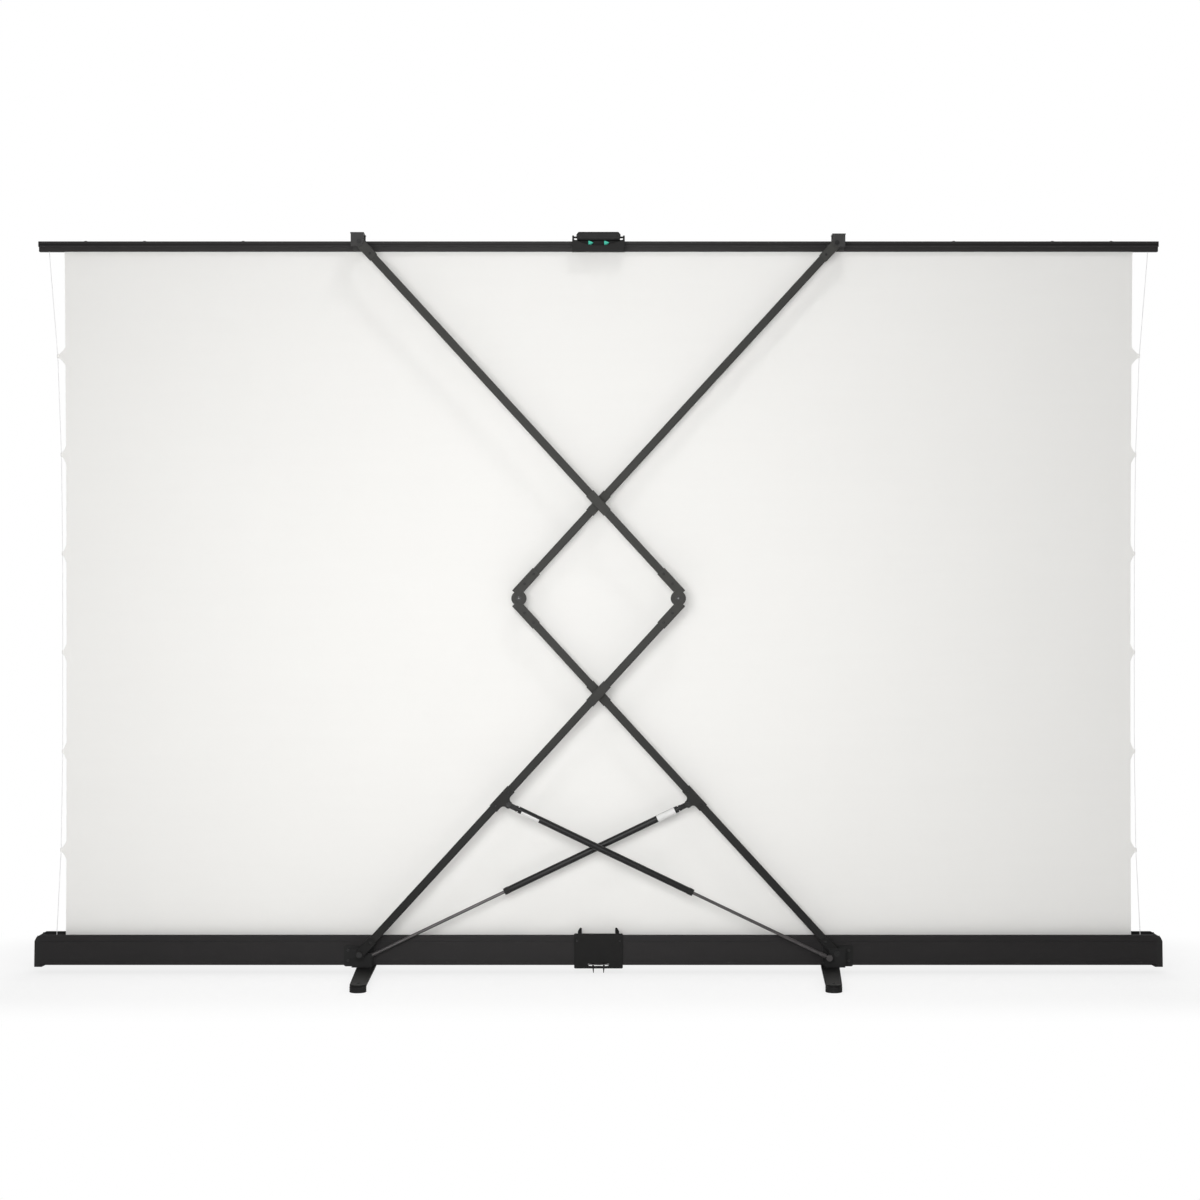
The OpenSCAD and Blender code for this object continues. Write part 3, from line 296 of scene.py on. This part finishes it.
finishes = {
    "case": powderCoat("casePowderCoat", rgb(0.0127, 0.0116, 0.0119), 0.46),
    "bar": powderCoat("barPowderCoat", rgb(0.0262, 0.0246, 0.0246), 0.42, grooveShadeBand=barGroovePaintedShade),
    "arm": powderCoat("armPowderCoat", armLitAndShadedTones, 0.5),
    "bracket": powderCoat("bracketPowderCoat", bracketLitAndShadedTones, 0.45),
    "foot": powderCoat("footPowderCoat", grey(0.005, 0.02), 0.44, gloss=0.15, dusty=0.05),
    "strut": powderCoat("strutPaint", grey(0.011), 0.24, fine=300, depth=0.00002),
    "cap": mouldedPlastic("capPlastic", grey(0.0145, 0.02), 0.5),
    "fitting": mouldedPlastic("fittingPlastic", fittingLitAndShadedTones, 0.55),
    "saddle": mouldedPlastic("saddlePlastic", grey(0.011, 0.03), 0.52),
    "cover": mouldedPlastic("coverPlastic", grey(0.007, 0.03), 0.52, gloss=0.2),
    "latch": mouldedPlastic("latchPlastic", grey(0.0045, 0.03), 0.5, gloss=0.14),
    "plug": mouldedPlastic("plugPlastic", grey(0.025), 0.5),
    "pad": rubber("padRubber", grey(0.010), grey(0.03), 0.7),
    "grip": rubber("gripRubber", grey(0.022, 0.02), grey(0.032), 0.66),
    "bumper": rubber("bumperRubber", rgb(0.06, 0.56, 0.40), rgb(0.12, 0.66, 0.5), 0.45),
    "zinc": brushedSteel("zincSteel", grey(0.62), rgb(0.5, 0.5, 0.53), 0.25, along=(1, 8, 8)),
    "pinSteel": brushedSteel("pinSteel", grey(0.19), grey(0.15), 0.3),
    "blackSteel": brushedSteel("blackSteel", grey(0.032), grey(0.05), 0.34),
    # Painted reflection: the polished rod's steel is given a dark colour that stands in for the dark surroundings
    # it reflects
    "rod": brushedSteel("rodPaintedDarkReflection", rgb(0.15, 0.138, 0.138), grey(0.10), 0.22, along=(1, 20, 20)),
    "aluminium": brushedSteel("millAluminium", grey(0.68), grey(0.60), 0.3, along=(0.05, 6, 6)),
    "cloth": screenCloth("clothRear", rgb(0.905, 0.898, 0.874), rgb(0.880, 0.872, 0.850)),
    "clothFront": screenCloth("clothFront", grey(0.92), grey(0.905), border=grey(0.012)),
    "cord": braid("braidedCord", grey(0.93), grey(0.85)),
    "label": mouldedPlastic("blankLabel", grey(0.66, 0.01), 0.4, gloss=0.4),
}
print("finishes made:", len(finishes))

# The photograph's camera: metres, and its focal length and frame in the photograph's pixels
view = {
    "place": (0.0038, -6.1, 0.944), "turn": 90, "focalPixels": 2401, "framePixels": 1200,
    "sensor": 36, "near": 0.1, "far": 100,
}


def makeCamera():
    data = bpy.data.cameras.new("camera")
    data.sensor_width = view["sensor"]
    data.lens = view["sensor"] * view["focalPixels"] / view["framePixels"]
    data.clip_start, data.clip_end = view["near"], view["far"]
    camera = bpy.data.objects.new("camera", data)
    camera.location = view["place"]
    camera.rotation_euler = (math.radians(view["turn"]), 0, 0)
    bpy.context.scene.collection.objects.link(camera)
    bpy.context.scene.camera = camera


def meshFrom(name, shape):
    bmesh.ops.recalc_face_normals(shape, faces=shape.faces)
    mesh = bpy.data.meshes.new(name)
    shape.to_mesh(mesh)
    shape.free()
    return mesh


# A piece on its body. Edges sharper than smooth degrees stay sharp, and with 0 all faces stay flat.
def newPiece(name, shape, look, body, smooth=40):
    mesh = meshFrom(name, shape)
    piece = bpy.data.objects.new(name, mesh)
    bpy.context.scene.collection.objects.link(piece)
    piece.data.materials.append(finishes[look])
    if smooth:
        mesh.shade_smooth()
        mesh.set_sharp_from_angle(angle=math.radians(smooth))
    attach(piece, body)
    return piece


# Joins rings of points into a skin. Each ring is a list of vectors of the same length.
def skin(shape, rings, closed=True, capped=True):
    grid = [[shape.verts.new(point) for point in ring] for ring in rings]
    count = len(grid[0])
    for low, high in zip(grid, grid[1:]):
        for i in range(count if closed else count - 1):
            j = (i + 1) % count
            shape.faces.new((low[i], low[j], high[j], high[i]))
    if capped:
        shape.faces.new(grid[0][::-1])
        shape.faces.new(grid[-1])


# A circle of points in the plane of two directions
def ringAt(centre, first, second, radius, corners):
    turns = [2 * math.pi * k / corners for k in range(corners)]
    return [centre + (first * math.cos(turn) + second * math.sin(turn)) * radius for turn in turns]


# Turns a list of (radius, height) about an axis through a place
def turned(shape, profile, place, axis, corners=24):
    axis = Vector(axis).normalized()
    first = axis.orthogonal().normalized()
    second = axis.cross(first)
    skin(shape, [ringAt(Vector(place) + axis * height, first, second, radius, corners)
                 for radius, height in profile])


# A round tube along a list of points
def tubeAlong(shape, points, radius, corners=12):
    rings = []
    for i, point in enumerate(points):
        ahead = (points[min(i + 1, len(points) - 1)] - points[max(i - 1, 0)]).normalized()
        first = ahead.cross(Vector((0, 1, 0))).normalized()
        rings.append(ringAt(point, first, ahead.cross(first), radius, corners))
    skin(shape, rings)


# A low domed head: each step is a share of its radius and of its rise
def headProfile(radius, rise, sunk, steps):
    return [(radius, -sunk)] + [(radius * wide, rise * tall) for wide, tall in steps]


# Lays the weave on a shape by its X and by its place along up, in metres
def layWeave(shape, up):
    up = Vector(up)
    layer = shape.loops.layers.uv.new("UVMap")
    for face in shape.faces:
        for loop in face.loops:
            loop[layer].uv = (loop.vert.co.x, loop.vert.co.dot(up))


# The sheet's lowest and highest corners in the part, and the middle of its thickness
sheetLow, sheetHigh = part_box("projection_screen")
sheetY = (sheetLow.y + sheetHigh.y) / 2


# The cord's route repeats the one in the part: metres, for the right side. Its distance from the cloth's
# edge grows from near to top and to foot, and topEnd is the end in the bar.
cords = {
    "radius": 0.0008, "edge": 1.352, "near": 0.007, "top": 0.042, "foot": 0.022, "nearZ": 0.780, "bow": 3.5,
    "barZ": 1.826982, "caseZ": 0.098, "rollerZ": 0.060, "topEnd": 0.0107, "drop": 0.264, "pitch": 0.2506,
    "tabs": 6, "perStretch": 3,
}


def cordOffset(z):
    if z > cords["nearZ"]:
        share = (z - cords["nearZ"]) / (cords["barZ"] - cords["nearZ"])
        return cords["near"] + (cords["top"] - cords["near"]) * share ** cords["bow"]
    share = (cords["nearZ"] - z) / (cords["nearZ"] - cords["caseZ"])
    return cords["near"] + (cords["foot"] - cords["near"]) * share ** cords["bow"]


tabHeights = [cords["barZ"] - cords["drop"] - i * cords["pitch"] for i in range(cords["tabs"])]


# Straight from the bar to each tab in turn, and down into the case
def cordRoute():
    corners = [(cords["edge"] + cordOffset(z), z) for z in [cords["barZ"]] + tabHeights + [cords["caseZ"]]]
    corners[0] = (corners[0][0], cords["barZ"] + cords["topEnd"])
    corners.append((corners[-1][0], cords["rollerZ"]))
    route = []
    for (x0, z0), (x1, z1) in zip(corners, corners[1:]):
        for k in range(cords["perStretch"]):
            share = k / cords["perStretch"]
            route.append((x0 + (x1 - x0) * share, z0 + (z1 - z0) * share))
    return route + [corners[-1]]


def makeCord(name, side):
    points = [Vector((side * x, sheetY, z)) for x, z in cordRoute()]
    shape = bmesh.new()
    tubeAlong(shape, points, cords["radius"])
    piece = newPiece(name, shape, "cord", "case", smooth=70)
    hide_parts("tension_cords")
    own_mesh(piece)


makeCamera()
makeCord("cordLeft", -1)
makeCord("cordRight", 1)
print("camera and cords made")


# The finish of each material slot, and of the nodes that have their own
slotFinish = {
    "case_paint": "case", "cap_plastic": "cap", "bracket_paint": "bracket", "foot_paint": "foot",
    "pad_rubber": "pad", "arm_paint": "arm", "fitting_plastic": "fitting", "steel": "zinc",
    "dark_steel": "blackSteel", "strut_paint": "strut", "rod_steel": "rod",
    "roller_aluminium": "aluminium", "plug_plastic": "plug", "saddle_plastic": "saddle",
    "latch_plastic": "latch", "grip_rubber": "grip", "bumper_rubber": "bumper",
    "screen_fabric": "cloth", "cord_white": "cord",
}
ownFinish = {"top_bar": "bar", "latch_cover": "cover", "latch_spring": "pinSteel"}

# The solids that stay: how far their edges are rounded and their points welded, in metres, the angles of a
# flat and of a sharp edge, in degrees, and the weight of large faces in the shading
edges = {
    "mouldings": 0.0009, "plates": 0.0005, "segments": 2, "weld": 0.00001, "flat": 0.2, "sharp": 40,
    "weight": 80,
}
mouldings = ["handle_saddle", "handle_grip", "latch_cover", "left_end_cap", "right_end_cap"]
plates = ["bar_end_caps"]
for side in sides:
    for level in levels:
        mouldings += [f"{side}_{level}_{part}" for part in ("end_fitting", "elbow", "coupler")]
    mouldings.append(f"{side}_strut_saddle")
    plates += [f"{side}_base_bracket", f"{side}_top_bracket", f"{side}_foot_bar"]


def dressNodes():
    slotOf = {part["node"]: part["material_slot"] for part in frame["record"]["subparts"]}
    for name, piece in nodes.items():
        look = finishes[ownFinish.get(name, slotFinish[slotOf[name]])]
        for i in range(len(piece.material_slots)):
            piece.material_slots[i].material = look


# Welds a solid's mesh, joins its flat faces and rounds its sharp edges
def soften(name, width):
    piece = nodes[name]
    weld = piece.modifiers.new("weld", "WELD")
    weld.merge_threshold = edges["weld"]
    plain = piece.modifiers.new("flat faces", "DECIMATE")
    plain.decimate_type = "DISSOLVE"
    plain.angle_limit = math.radians(edges["flat"])
    bevel = piece.modifiers.new("bevel", "BEVEL")
    bevel.width = width
    bevel.segments = edges["segments"]
    bevel.limit_method = "ANGLE"
    bevel.angle_limit = math.radians(edges["sharp"])
    bevel.use_clamp_overlap = True
    shade = piece.modifiers.new("normals", "WEIGHTED_NORMAL")
    shade.keep_sharp = False
    shade.weight = edges["weight"]


dressNodes()
for name in mouldings:
    soften(name, edges["mouldings"])
for name in plates:
    soften(name, edges["plates"])
print("solids dressed")


# The cloth's edges draw in towards its waist
def clothHalf(z):
    share = (z - cloth["waistZ"]) / (sheetHigh.z - cloth["waistZ"])
    return cloth["halfWaist"] + (cloth["halfTop"] - cloth["halfWaist"]) * min(1, abs(share)) ** 2


# A ripple of under a millimetre, none at the case and at the bar: its depth and reach in metres, and the
# turns of its waves per metre, in radians
ripple = {
    "deep": 0.0007, "low": 0.1, "tall": 1.72, "across": 2.3, "lean": 1.1, "up": 3.1, "sway": 0.7,
    "swayAcross": 1.7,
}


def clothY(x, z):
    free = math.sin(math.pi * min(1, max(0, (z - ripple["low"]) / ripple["tall"])))
    sway = ripple["sway"] * math.sin(x * ripple["swayAcross"])
    wave = math.sin(x * ripple["across"] + z * ripple["lean"]) * math.sin(z * ripple["up"] + sway)
    return sheetY + wave * free * ripple["deep"]


# One face of the cloth, in rows from the roller up. Side is -1 for the rear and 1 for the front.
def clothGrid(shape, side):
    cols, rows = cloth["columns"], cloth["rows"]
    grid = []
    for r in range(rows + 1):
        z = sheetLow.z + (sheetHigh.z - sheetLow.z) * r / rows
        across = [clothHalf(z) * (2 * c / cols - 1) for c in range(cols + 1)]
        grid.append([shape.verts.new((x, clothY(x, z) + side * cloth["thick"] / 2, z)) for x in across])
    return grid


def makeCloth():
    shape = bmesh.new()
    cols, rows = cloth["columns"], cloth["rows"]
    rear, front = clothGrid(shape, -1), clothGrid(shape, 1)
    for finish, grid in enumerate((rear, front)):
        for low, high in zip(grid, grid[1:]):
            for c in range(cols):
                quad = (low[c], low[c + 1], high[c + 1], high[c])
                face = shape.faces.new(quad[::-1] if grid is front else quad)
                face.material_index = finish
    rim = [(r, 0) for r in range(rows + 1)] + [(rows, c) for c in range(1, cols + 1)]
    rim += [(r, cols) for r in range(rows - 1, -1, -1)] + [(0, c) for c in range(cols - 1, -1, -1)]
    for (r0, c0), (r1, c1) in zip(rim, rim[1:]):
        shape.faces.new((rear[r0][c0], rear[r1][c1], front[r1][c1], front[r0][c0]))
    layWeave(shape, up=(0, 0, 1))
    piece = newPiece("screenCloth", shape, "cloth", "case", smooth=60)
    piece.data.materials.append(finishes["clothFront"])
    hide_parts("projection_screen")
    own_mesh(piece)
    return piece


# Tabs of cloth folded round the cords, in metres: wide at the base, where they are sewn inside the cloth's
# edge, and as tall as the hem at the cord, with a loop round it
tabs = {
    "base": 0.046, "hem": 0.0098, "hollow": 1.7, "thick": 0.0006, "inside": 0.011, "clear": 0.0001,
    "steps": 14, "loop": 0.0020, "loopSwell": 0.0001, "loopRound": (0.0005, 0.0006), "loopCorners": 20,
}


# One tab: a tongue of cloth with hollow sides, folded round the cord at its tip
def addTab(shape, side, z):
    edge, tall, thick = clothHalf(z), tabs["hem"] / 2, tabs["thick"]
    inner, outer = edge - tabs["inside"], cords["edge"] + cordOffset(z)
    rings = []
    for k in range(tabs["steps"] + 1):
        x = inner + (outer - inner) * (k / tabs["steps"])
        along = max(0, (x - edge) / (outer - edge))
        half = tall + (tabs["base"] / 2 - tall) * (1 - along) ** tabs["hollow"]
        ring = []
        for corner, depth in ((-1, -1), (1, -1), (1, 1), (-1, 1)):
            # sewn on the back of the cloth, level with the cord at the tip
            level = z + corner * half
            sewn = clothY(side * x, level) - (cloth["thick"] + thick) / 2 - tabs["clear"]
            ring.append(Vector((side * x, sewn + (sheetY - sewn) * along + depth * thick / 2, level)))
        rings.append(ring)
    skin(shape, rings)
    loop, (inward, down) = tabs["loop"], tabs["loopRound"]
    profile = [(loop - inward, -tall), (loop, -tall + down), (loop + tabs["loopSwell"], 0),
               (loop, tall - down), (loop - inward, tall)]
    turned(shape, profile, (side * outer, sheetY, z), (0, 0, 1), tabs["loopCorners"])


def makeTabs(name, side):
    shape = bmesh.new()
    for z in tabHeights:
        addTab(shape, side, z)
    layWeave(shape, up=(0, 0, 1))
    piece = newPiece(name, shape, "cloth", "case")
    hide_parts("side_tabs")
    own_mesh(piece)
    return piece


screen = makeCloth()
tabPieces = [makeTabs("tabsLeft", -1), makeTabs("tabsRight", 1)]
print("cloth and tabs made")


# The last turns of cloth on the roller, in metres
roll = {"turns": 2.4, "corners": 48, "cloth": 0.0005, "clear": 0.00005}


def makeRoll():
    low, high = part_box("rolled_fabric")
    tubeLow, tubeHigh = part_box("roller_tube")
    centre = (low + high) / 2
    outer, inner = (high.z - low.z) / 2, (tubeHigh.z - tubeLow.z) / 2
    steps = int(roll["turns"] * roll["corners"])
    deep = outer - inner - roll["cloth"] - 2 * roll["clear"]
    section = ((low.x, 0), (high.x, 0), (high.x, roll["cloth"]), (low.x, roll["cloth"]))
    shape = bmesh.new()
    rings = [[], [], [], []]
    for k in range(steps + 1):
        turn = math.pi + 2 * math.pi * k / roll["corners"]
        radius = outer - roll["clear"] - deep * k / steps
        for ring, (x, depth) in zip(rings, section):
            ring.append(Vector((x, centre.y + math.cos(turn) * (radius - depth),
                                centre.z + math.sin(turn) * (radius - depth))))
    skin(shape, rings + [rings[0]], closed=False, capped=False)
    bmesh.ops.remove_doubles(shape, verts=shape.verts, dist=1e-7)
    layWeave(shape, up=(0, 1, 1))
    piece = newPiece("clothRoll", shape, "cloth", "roller", smooth=50)
    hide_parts("rolled_fabric")


makeRoll()
print("roll made")


# An arm's end pivot and its direction towards the elbow
def armPlace(side, level):
    along = -Vector(joints[f"{side}_{level}_slide"]["axis"]).normalized()
    low = Vector(joints["fold" if side == "left" else "right_base_pivot"]["pos_m"])
    high = Vector((low.x, low.y, joints["left_top_pivot"]["pos_m"][2]))
    return (low if level == "lower" else high), along


# Rubber pads, in metres: a hollow sole and a bead at the floor, two grooves and a rounded top. The sole is
# given in shares of the radius, and the rest as (in from the radius, height).
pads = {
    "radius": 0.0205, "sole": ((0.80, 0.0008), (0.84, 0)),
    "bead": ((0.0016, 0), (0.0004, 0.0005), (0, 0.0018)), "grooves": (0.0045, 0.0087),
    "groove": ((0, -0.0011), (0.0009, -0.0005), (0.0009, 0.0005), (0, 0.0011)),
    "rim": ((0, 0.0122), (0.0006, 0.0130)), "inside": (0.7, 0.0130), "corners": 64,
}


def padProfile():
    radius = pads["radius"]
    wide, tall = pads["inside"]
    steps = list(pads["bead"])
    for middle in pads["grooves"]:
        steps += [(inward, middle + rise) for inward, rise in pads["groove"]]
    sole = [(radius * share, z) for share, z in pads["sole"]]
    wall = [(radius - inward, z) for inward, z in steps + list(pads["rim"])]
    return sole + wall + [(radius * wide, tall)]


# The part's own mounts give each pad's place on the floor
def padPlace(side, end):
    name = f"{side}_{'rear' if end < 0 else 'front'}_pad"
    spot = next(mount["pos_m"] for mount in frame["record"]["mounts"] if mount["name"] == name)
    return Vector((spot[0], spot[1], 0))


# Small dark screws, in metres. Along an arm they are measured from its end pivot. The head's steps are shares
# of its radius and rise, and the recess's of the socket and rise.
screws = {
    "radius": 0.0031, "rise": 0.0013, "sunk": 0.0004, "socket": 0.0014, "fittingHalf": 0.008,
    "arm": (0.040, 1.130, 1.163), "saddle": (0.506, 0.554),
    "coverX": 0.054, "coverZ": 0.084, "footIn": 0.012, "footSize": 1.3,
    "head": ((1, 0.25), (0.86, 0.7), (0.6, 1)), "recess": ((1.05, 1), (1, 0.9), (0.9, 0.2)),
}


# A domed head with a round recess
def addScrew(shape, place, outward, size=1.0):
    radius, rise, socket = (screws[k] * size for k in ("radius", "rise", "socket"))
    profile = headProfile(radius, rise, screws["sunk"], screws["head"])
    profile += [(socket * wide, rise * tall) for wide, tall in screws["recess"]]
    turned(shape, profile, place, outward)


def makeArmScrews():
    for side in sides:
        for level in levels:
            start, along = armPlace(side, level)
            shape = bmesh.new()
            for s in screws["arm"] + (screws["saddle"] if level == "lower" else ()):
                addScrew(shape, start + along * s + Vector((0, -screws["fittingHalf"], 0)), (0, -1, 0))
            name = f"{side}{level.capitalize()}Screws"
            newPiece(name, shape, "blackSteel", f"{side}_{level}_arm", smooth=35)


def makeCoverScrews():
    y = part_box("latch_cover")[0].y
    shape = bmesh.new()
    for side in (-1, 1):
        addScrew(shape, (side * screws["coverX"], y, screws["coverZ"]), (0, -1, 0))
    newPiece("coverScrews", shape, "blackSteel", "case", smooth=35)


# Each pad's screw shows on top of its foot bar, a little in from the tip
def makeFootScrews():
    for side in sides:
        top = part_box(f"{side}_foot_bar")[1].z
        pivot = Vector(joints[f"{side}_foot_swivel"]["pos_m"])
        shape = bmesh.new()
        for end in (-1, 1):
            tip = padPlace(side, end)
            inward = Vector((pivot.x - tip.x, pivot.y - tip.y, 0)).normalized()
            addScrew(shape, Vector((tip.x, tip.y, top)) + inward * screws["footIn"], (0, 0, 1),
                     screws["footSize"])
        newPiece(f"{side}FootScrews", shape, "blackSteel", f"{side}_foot", smooth=35)


# Bright domed centres in the elbow pins' heads, in metres
pinCentre = {
    "radius": 0.0022, "sunk": 0.0011, "proud": 0.0002,
    "head": ((1, -1), (0.85, 0.5), (0.5, 0.9), (0.15, 1)),
}


def makePinCentres():
    profile = headProfile(pinCentre["radius"], pinCentre["proud"], pinCentre["sunk"], pinCentre["head"])
    for side in sides:
        low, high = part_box(f"{side}_lower_elbow_pin")
        shape = bmesh.new()
        turned(shape, profile, ((low.x + high.x) / 2, low.y, (low.z + high.z) / 2), (0, -1, 0))
        newPiece(f"{side}PinCentre", shape, "pinSteel", f"{side}_lower_arm", smooth=50)


# Low round studs on the bar's top edge, three at each side, in metres
studs = {
    "x": (0.900, 1.150, 1.299), "radius": 0.004, "rise": 0.0018, "sunk": 0.0003, "yIn": 0.008,
    "head": ((1, 0.4), (0.8, 0.85), (0.4, 1)),
}


def makeBarStuds():
    low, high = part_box("top_bar")
    profile = headProfile(studs["radius"], studs["rise"], studs["sunk"], studs["head"])
    shape = bmesh.new()
    for x in studs["x"]:
        for side in (-1, 1):
            turned(shape, profile, (side * x, low.y + studs["yIn"], high.z), (0, 0, 1))
    newPiece("barStuds", shape, "blackSteel", "bar", smooth=35)


makeArmScrews()
makeCoverScrews()
makeFootScrews()
makePinCentres()
makeBarStuds()
print("screws and studs made")


def makePads():
    for side in sides:
        shape = bmesh.new()
        for end in (-1, 1):
            turned(shape, padProfile(), padPlace(side, end), (0, 0, 1), pads["corners"])
        piece = newPiece(f"{side}Pads", shape, "pad", f"{side}_foot", smooth=30)
        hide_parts(f"{side}_foot_pads")


makePads()
print("pads made")


# Two mint rubber wedges under the grip, their rounded points to the right when seen from behind, in metres.
# Each stands on a stem with a collar, given in shares of the stem's radius.
bumpers = {
    "flat": -0.0042, "point": 0.0048, "tall": 0.0104, "round": 0.0017, "deep": 0.0052, "bevel": 0.0009,
    "full": 0.75, "cornerSteps": 6, "stem": 0.0026, "collar": ((1, 0), (1.2, 0.0008), (1, 0.0016)),
    "stemCorners": 20,
}


# A convex outline with rounded corners, anticlockwise
def roundedOutline(corners, radius, steps):
    outline = []
    count = len(corners)
    for i, corner in enumerate(corners):
        before, after = corners[i - 1], corners[(i + 1) % count]
        first = math.atan2(corner[0] - before[0], before[1] - corner[1]) + math.pi
        last = math.atan2(after[0] - corner[0], corner[1] - after[1]) + math.pi
        while last < first:
            last += 2 * math.pi
        for k in range(steps + 1):
            turn = first + (last - first) * k / steps
            outline.append((corner[0] + math.cos(turn) * radius, corner[1] + math.sin(turn) * radius))
    return outline


def makeBumpers():
    low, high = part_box("handle_bumpers")
    middle = (high.x + low.x) / 2
    spread = (high.x - low.x) / 2 - (high.y - low.y) / 2
    centreY, centreZ = (low.y + high.y) / 2, high.z - bumpers["tall"] / 2
    half = bumpers["tall"] / 2 - bumpers["round"]
    corners = [(bumpers["flat"], -half), (bumpers["point"], 0), (bumpers["flat"], half)]
    layers = ((-1, bumpers["bevel"]), (-bumpers["full"], 0), (bumpers["full"], 0), (1, bumpers["bevel"]))
    stem = [(bumpers["stem"] * wide, z) for wide, z in bumpers["collar"]]
    stem.append((bumpers["stem"], centreZ - low.z))
    shape = bmesh.new()
    for side in (-1, 1):
        centre = Vector((middle + side * spread, centreY, centreZ))
        rings = []
        for depth, shrink in layers:
            outline = roundedOutline(corners, bumpers["round"] - shrink, bumpers["cornerSteps"])
            rings.append([centre + Vector((x, depth * bumpers["deep"], z)) for x, z in outline])
        skin(shape, rings)
        turned(shape, stem, (centre.x, centreY, low.z), (0, 0, 1), bumpers["stemCorners"])
    piece = newPiece("gripBumpers", shape, "bumper", "bar")
    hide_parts("handle_bumpers")


makeBumpers()
print("bumpers made")


# Gas struts, in metres along them: a collar over the open end, given as (out from the cylinder, along it),
# and a blank label near the other end, given by the degrees that it covers from the rear downwards
strutParts = {
    "radius": 0.0085, "collarStart": 0.4993, "collarCorners": 40,
    "collar": ((0, 0), (0.0004, 0.0004), (0.0004, 0.0110), (0, 0.0118), (-0.0008, 0.0135), (-0.0035, 0.0142)),
    "labelStart": 0.037, "labelLong": 0.049, "labelRise": 0.00025, "labelClear": 0.00002, "labelSteps": 24,
    "labelTurn": {"left": (0, 130), "right": (-70, 110)},
}


def makeStrutParts():
    profile = [(strutParts["radius"] + out, along) for out, along in strutParts["collar"]]
    for side in sides:
        start = Vector(joints[f"{side}_strut_pivot"]["pos_m"])
        along = -Vector(joints[f"{side}_strut_stroke"]["axis"]).normalized()
        shape = bmesh.new()
        turned(shape, profile, start + along * strutParts["collarStart"], along, strutParts["collarCorners"])
        newPiece(f"{side}StrutCollar", shape, "cap", f"{side}_strut", smooth=35)
        makeLabel(side, start, along)


# A blank label wrapped part of the way round a cylinder
def makeLabel(side, start, along):
    first, last = strutParts["labelTurn"][side]
    near, far = strutParts["labelStart"], strutParts["labelStart"] + strutParts["labelLong"]
    rise, clear, steps = strutParts["labelRise"], strutParts["labelClear"], strutParts["labelSteps"]
    rear = Vector((0, -1, 0))
    down = Vector((0, 0, -1)) - along * along.dot(Vector((0, 0, -1)))
    down.normalize()
    turns = [math.radians(first + (last - first) * k / steps) for k in range(steps + 1)]
    rings = []
    for place, lift in ((near, clear), (near, rise), (far, rise), (far, clear)):
        centre, radius = start + along * place, strutParts["radius"] + lift
        rings.append([centre + (rear * math.cos(turn) + down * math.sin(turn)) * radius for turn in turns])
    shape = bmesh.new()
    skin(shape, rings, closed=False, capped=False)
    newPiece(f"{side}StrutLabel", shape, "label", f"{side}_strut", smooth=0)


makeStrutParts()
print("strut parts made")


def areaLight(name, place, target, size, watts):
    data = bpy.data.lights.new(name, "AREA")
    data.shape = "DISK"
    data.size = size
    data.energy = watts
    light = bpy.data.objects.new(name, data)
    light.location = place
    light.rotation_mode = "QUATERNION"
    light.rotation_quaternion = (Vector(target) - Vector(place)).to_track_quat("-Z", "Y")
    bpy.context.scene.collection.objects.link(light)


# Lamps: place, what each points at, its size in metres and its watts
lamps = {
    "front": ((-0.35, -2.8, 1.20), (0, 0, 0.75), 1.6, 45),
    "above": ((0.6, -1.5, 4.2), (0, 0, 0.9), 0.45, 11),
    "behind": ((0.4, 4.0, 3.0), (0, 0, 0.9), 3.0, 90),
}
worldLevel = 0.36

# The floor, in metres. Beyond the box beside the object it fades to the background's white, and the share of
# white near the object leaves its shadow there.
floor = {
    "half": 14, "corners": ((-1, -1), (1, -1), (1, 1), (-1, 1)),
    "besideX": 1.42, "besideY": 0.36, "fade": 0.4, "nearWhite": 0.78,
}


# The world is a plain level to the object and white to the camera
def makeWorld():
    world = bpy.data.worlds.new("studio")
    bpy.context.scene.world = world
    studio = Finish(world, "Background")
    through = studio.node("ShaderNodeLightPath", out="Is Transmission Ray")
    seen = studio.node("ShaderNodeLightPath", out="Is Camera Ray").maths("MAXIMUM", through)
    level = studio.node("ShaderNodeMix", {}, {"Factor": seen, "A": worldLevel, "B": 1.0})
    studio.set(Color=rgb(1, 1, 1), Strength=level)


def makeFloor():
    half = floor["half"]
    shape = bmesh.new()
    shape.faces.new([shape.verts.new((x * half, y * half, 0)) for x, y in floor["corners"]])
    ground = bpy.data.objects.new("floor", meshFrom("floor", shape))
    bpy.context.scene.collection.objects.link(ground)
    paint = newFinish("floorPaint")
    paint.set(Base_Color=grey(0.96), Roughness=0.9, Specular_IOR_Level=0.1)
    x, y = paint.split(paint.place())[:2]
    awayX = (x.maths("ABSOLUTE") - floor["besideX"]).maths("MAXIMUM", 0)
    awayY = (y.maths("ABSOLUTE") - floor["besideY"]).maths("MAXIMUM", 0)
    away = (awayX * awayX + awayY * awayY) ** 0.5
    white = paint.step(away, 0.0, floor["fade"]) * (1 - floor["nearWhite"]) + floor["nearWhite"]
    seen = paint.node("ShaderNodeLightPath", out="Is Camera Ray")
    glow = paint.node("ShaderNodeEmission", {}, {"Color": rgb(1, 1, 1), "Strength": 1.0})
    plain = Value(paint, paint.surface.outputs[0])
    mix = paint.node("ShaderNodeMixShader", {}, {0: white * seen, 1: plain, 2: glow})
    paint.fill(paint.tree.nodes["Material Output"], {"Surface": mix})
    ground.data.materials.append(paint.material)


makeWorld()
makeFloor()
for name, lamp in lamps.items():
    areaLight(name, *lamp)
bpy.context.scene.view_settings.view_transform = "Standard"
print("light and floor made")
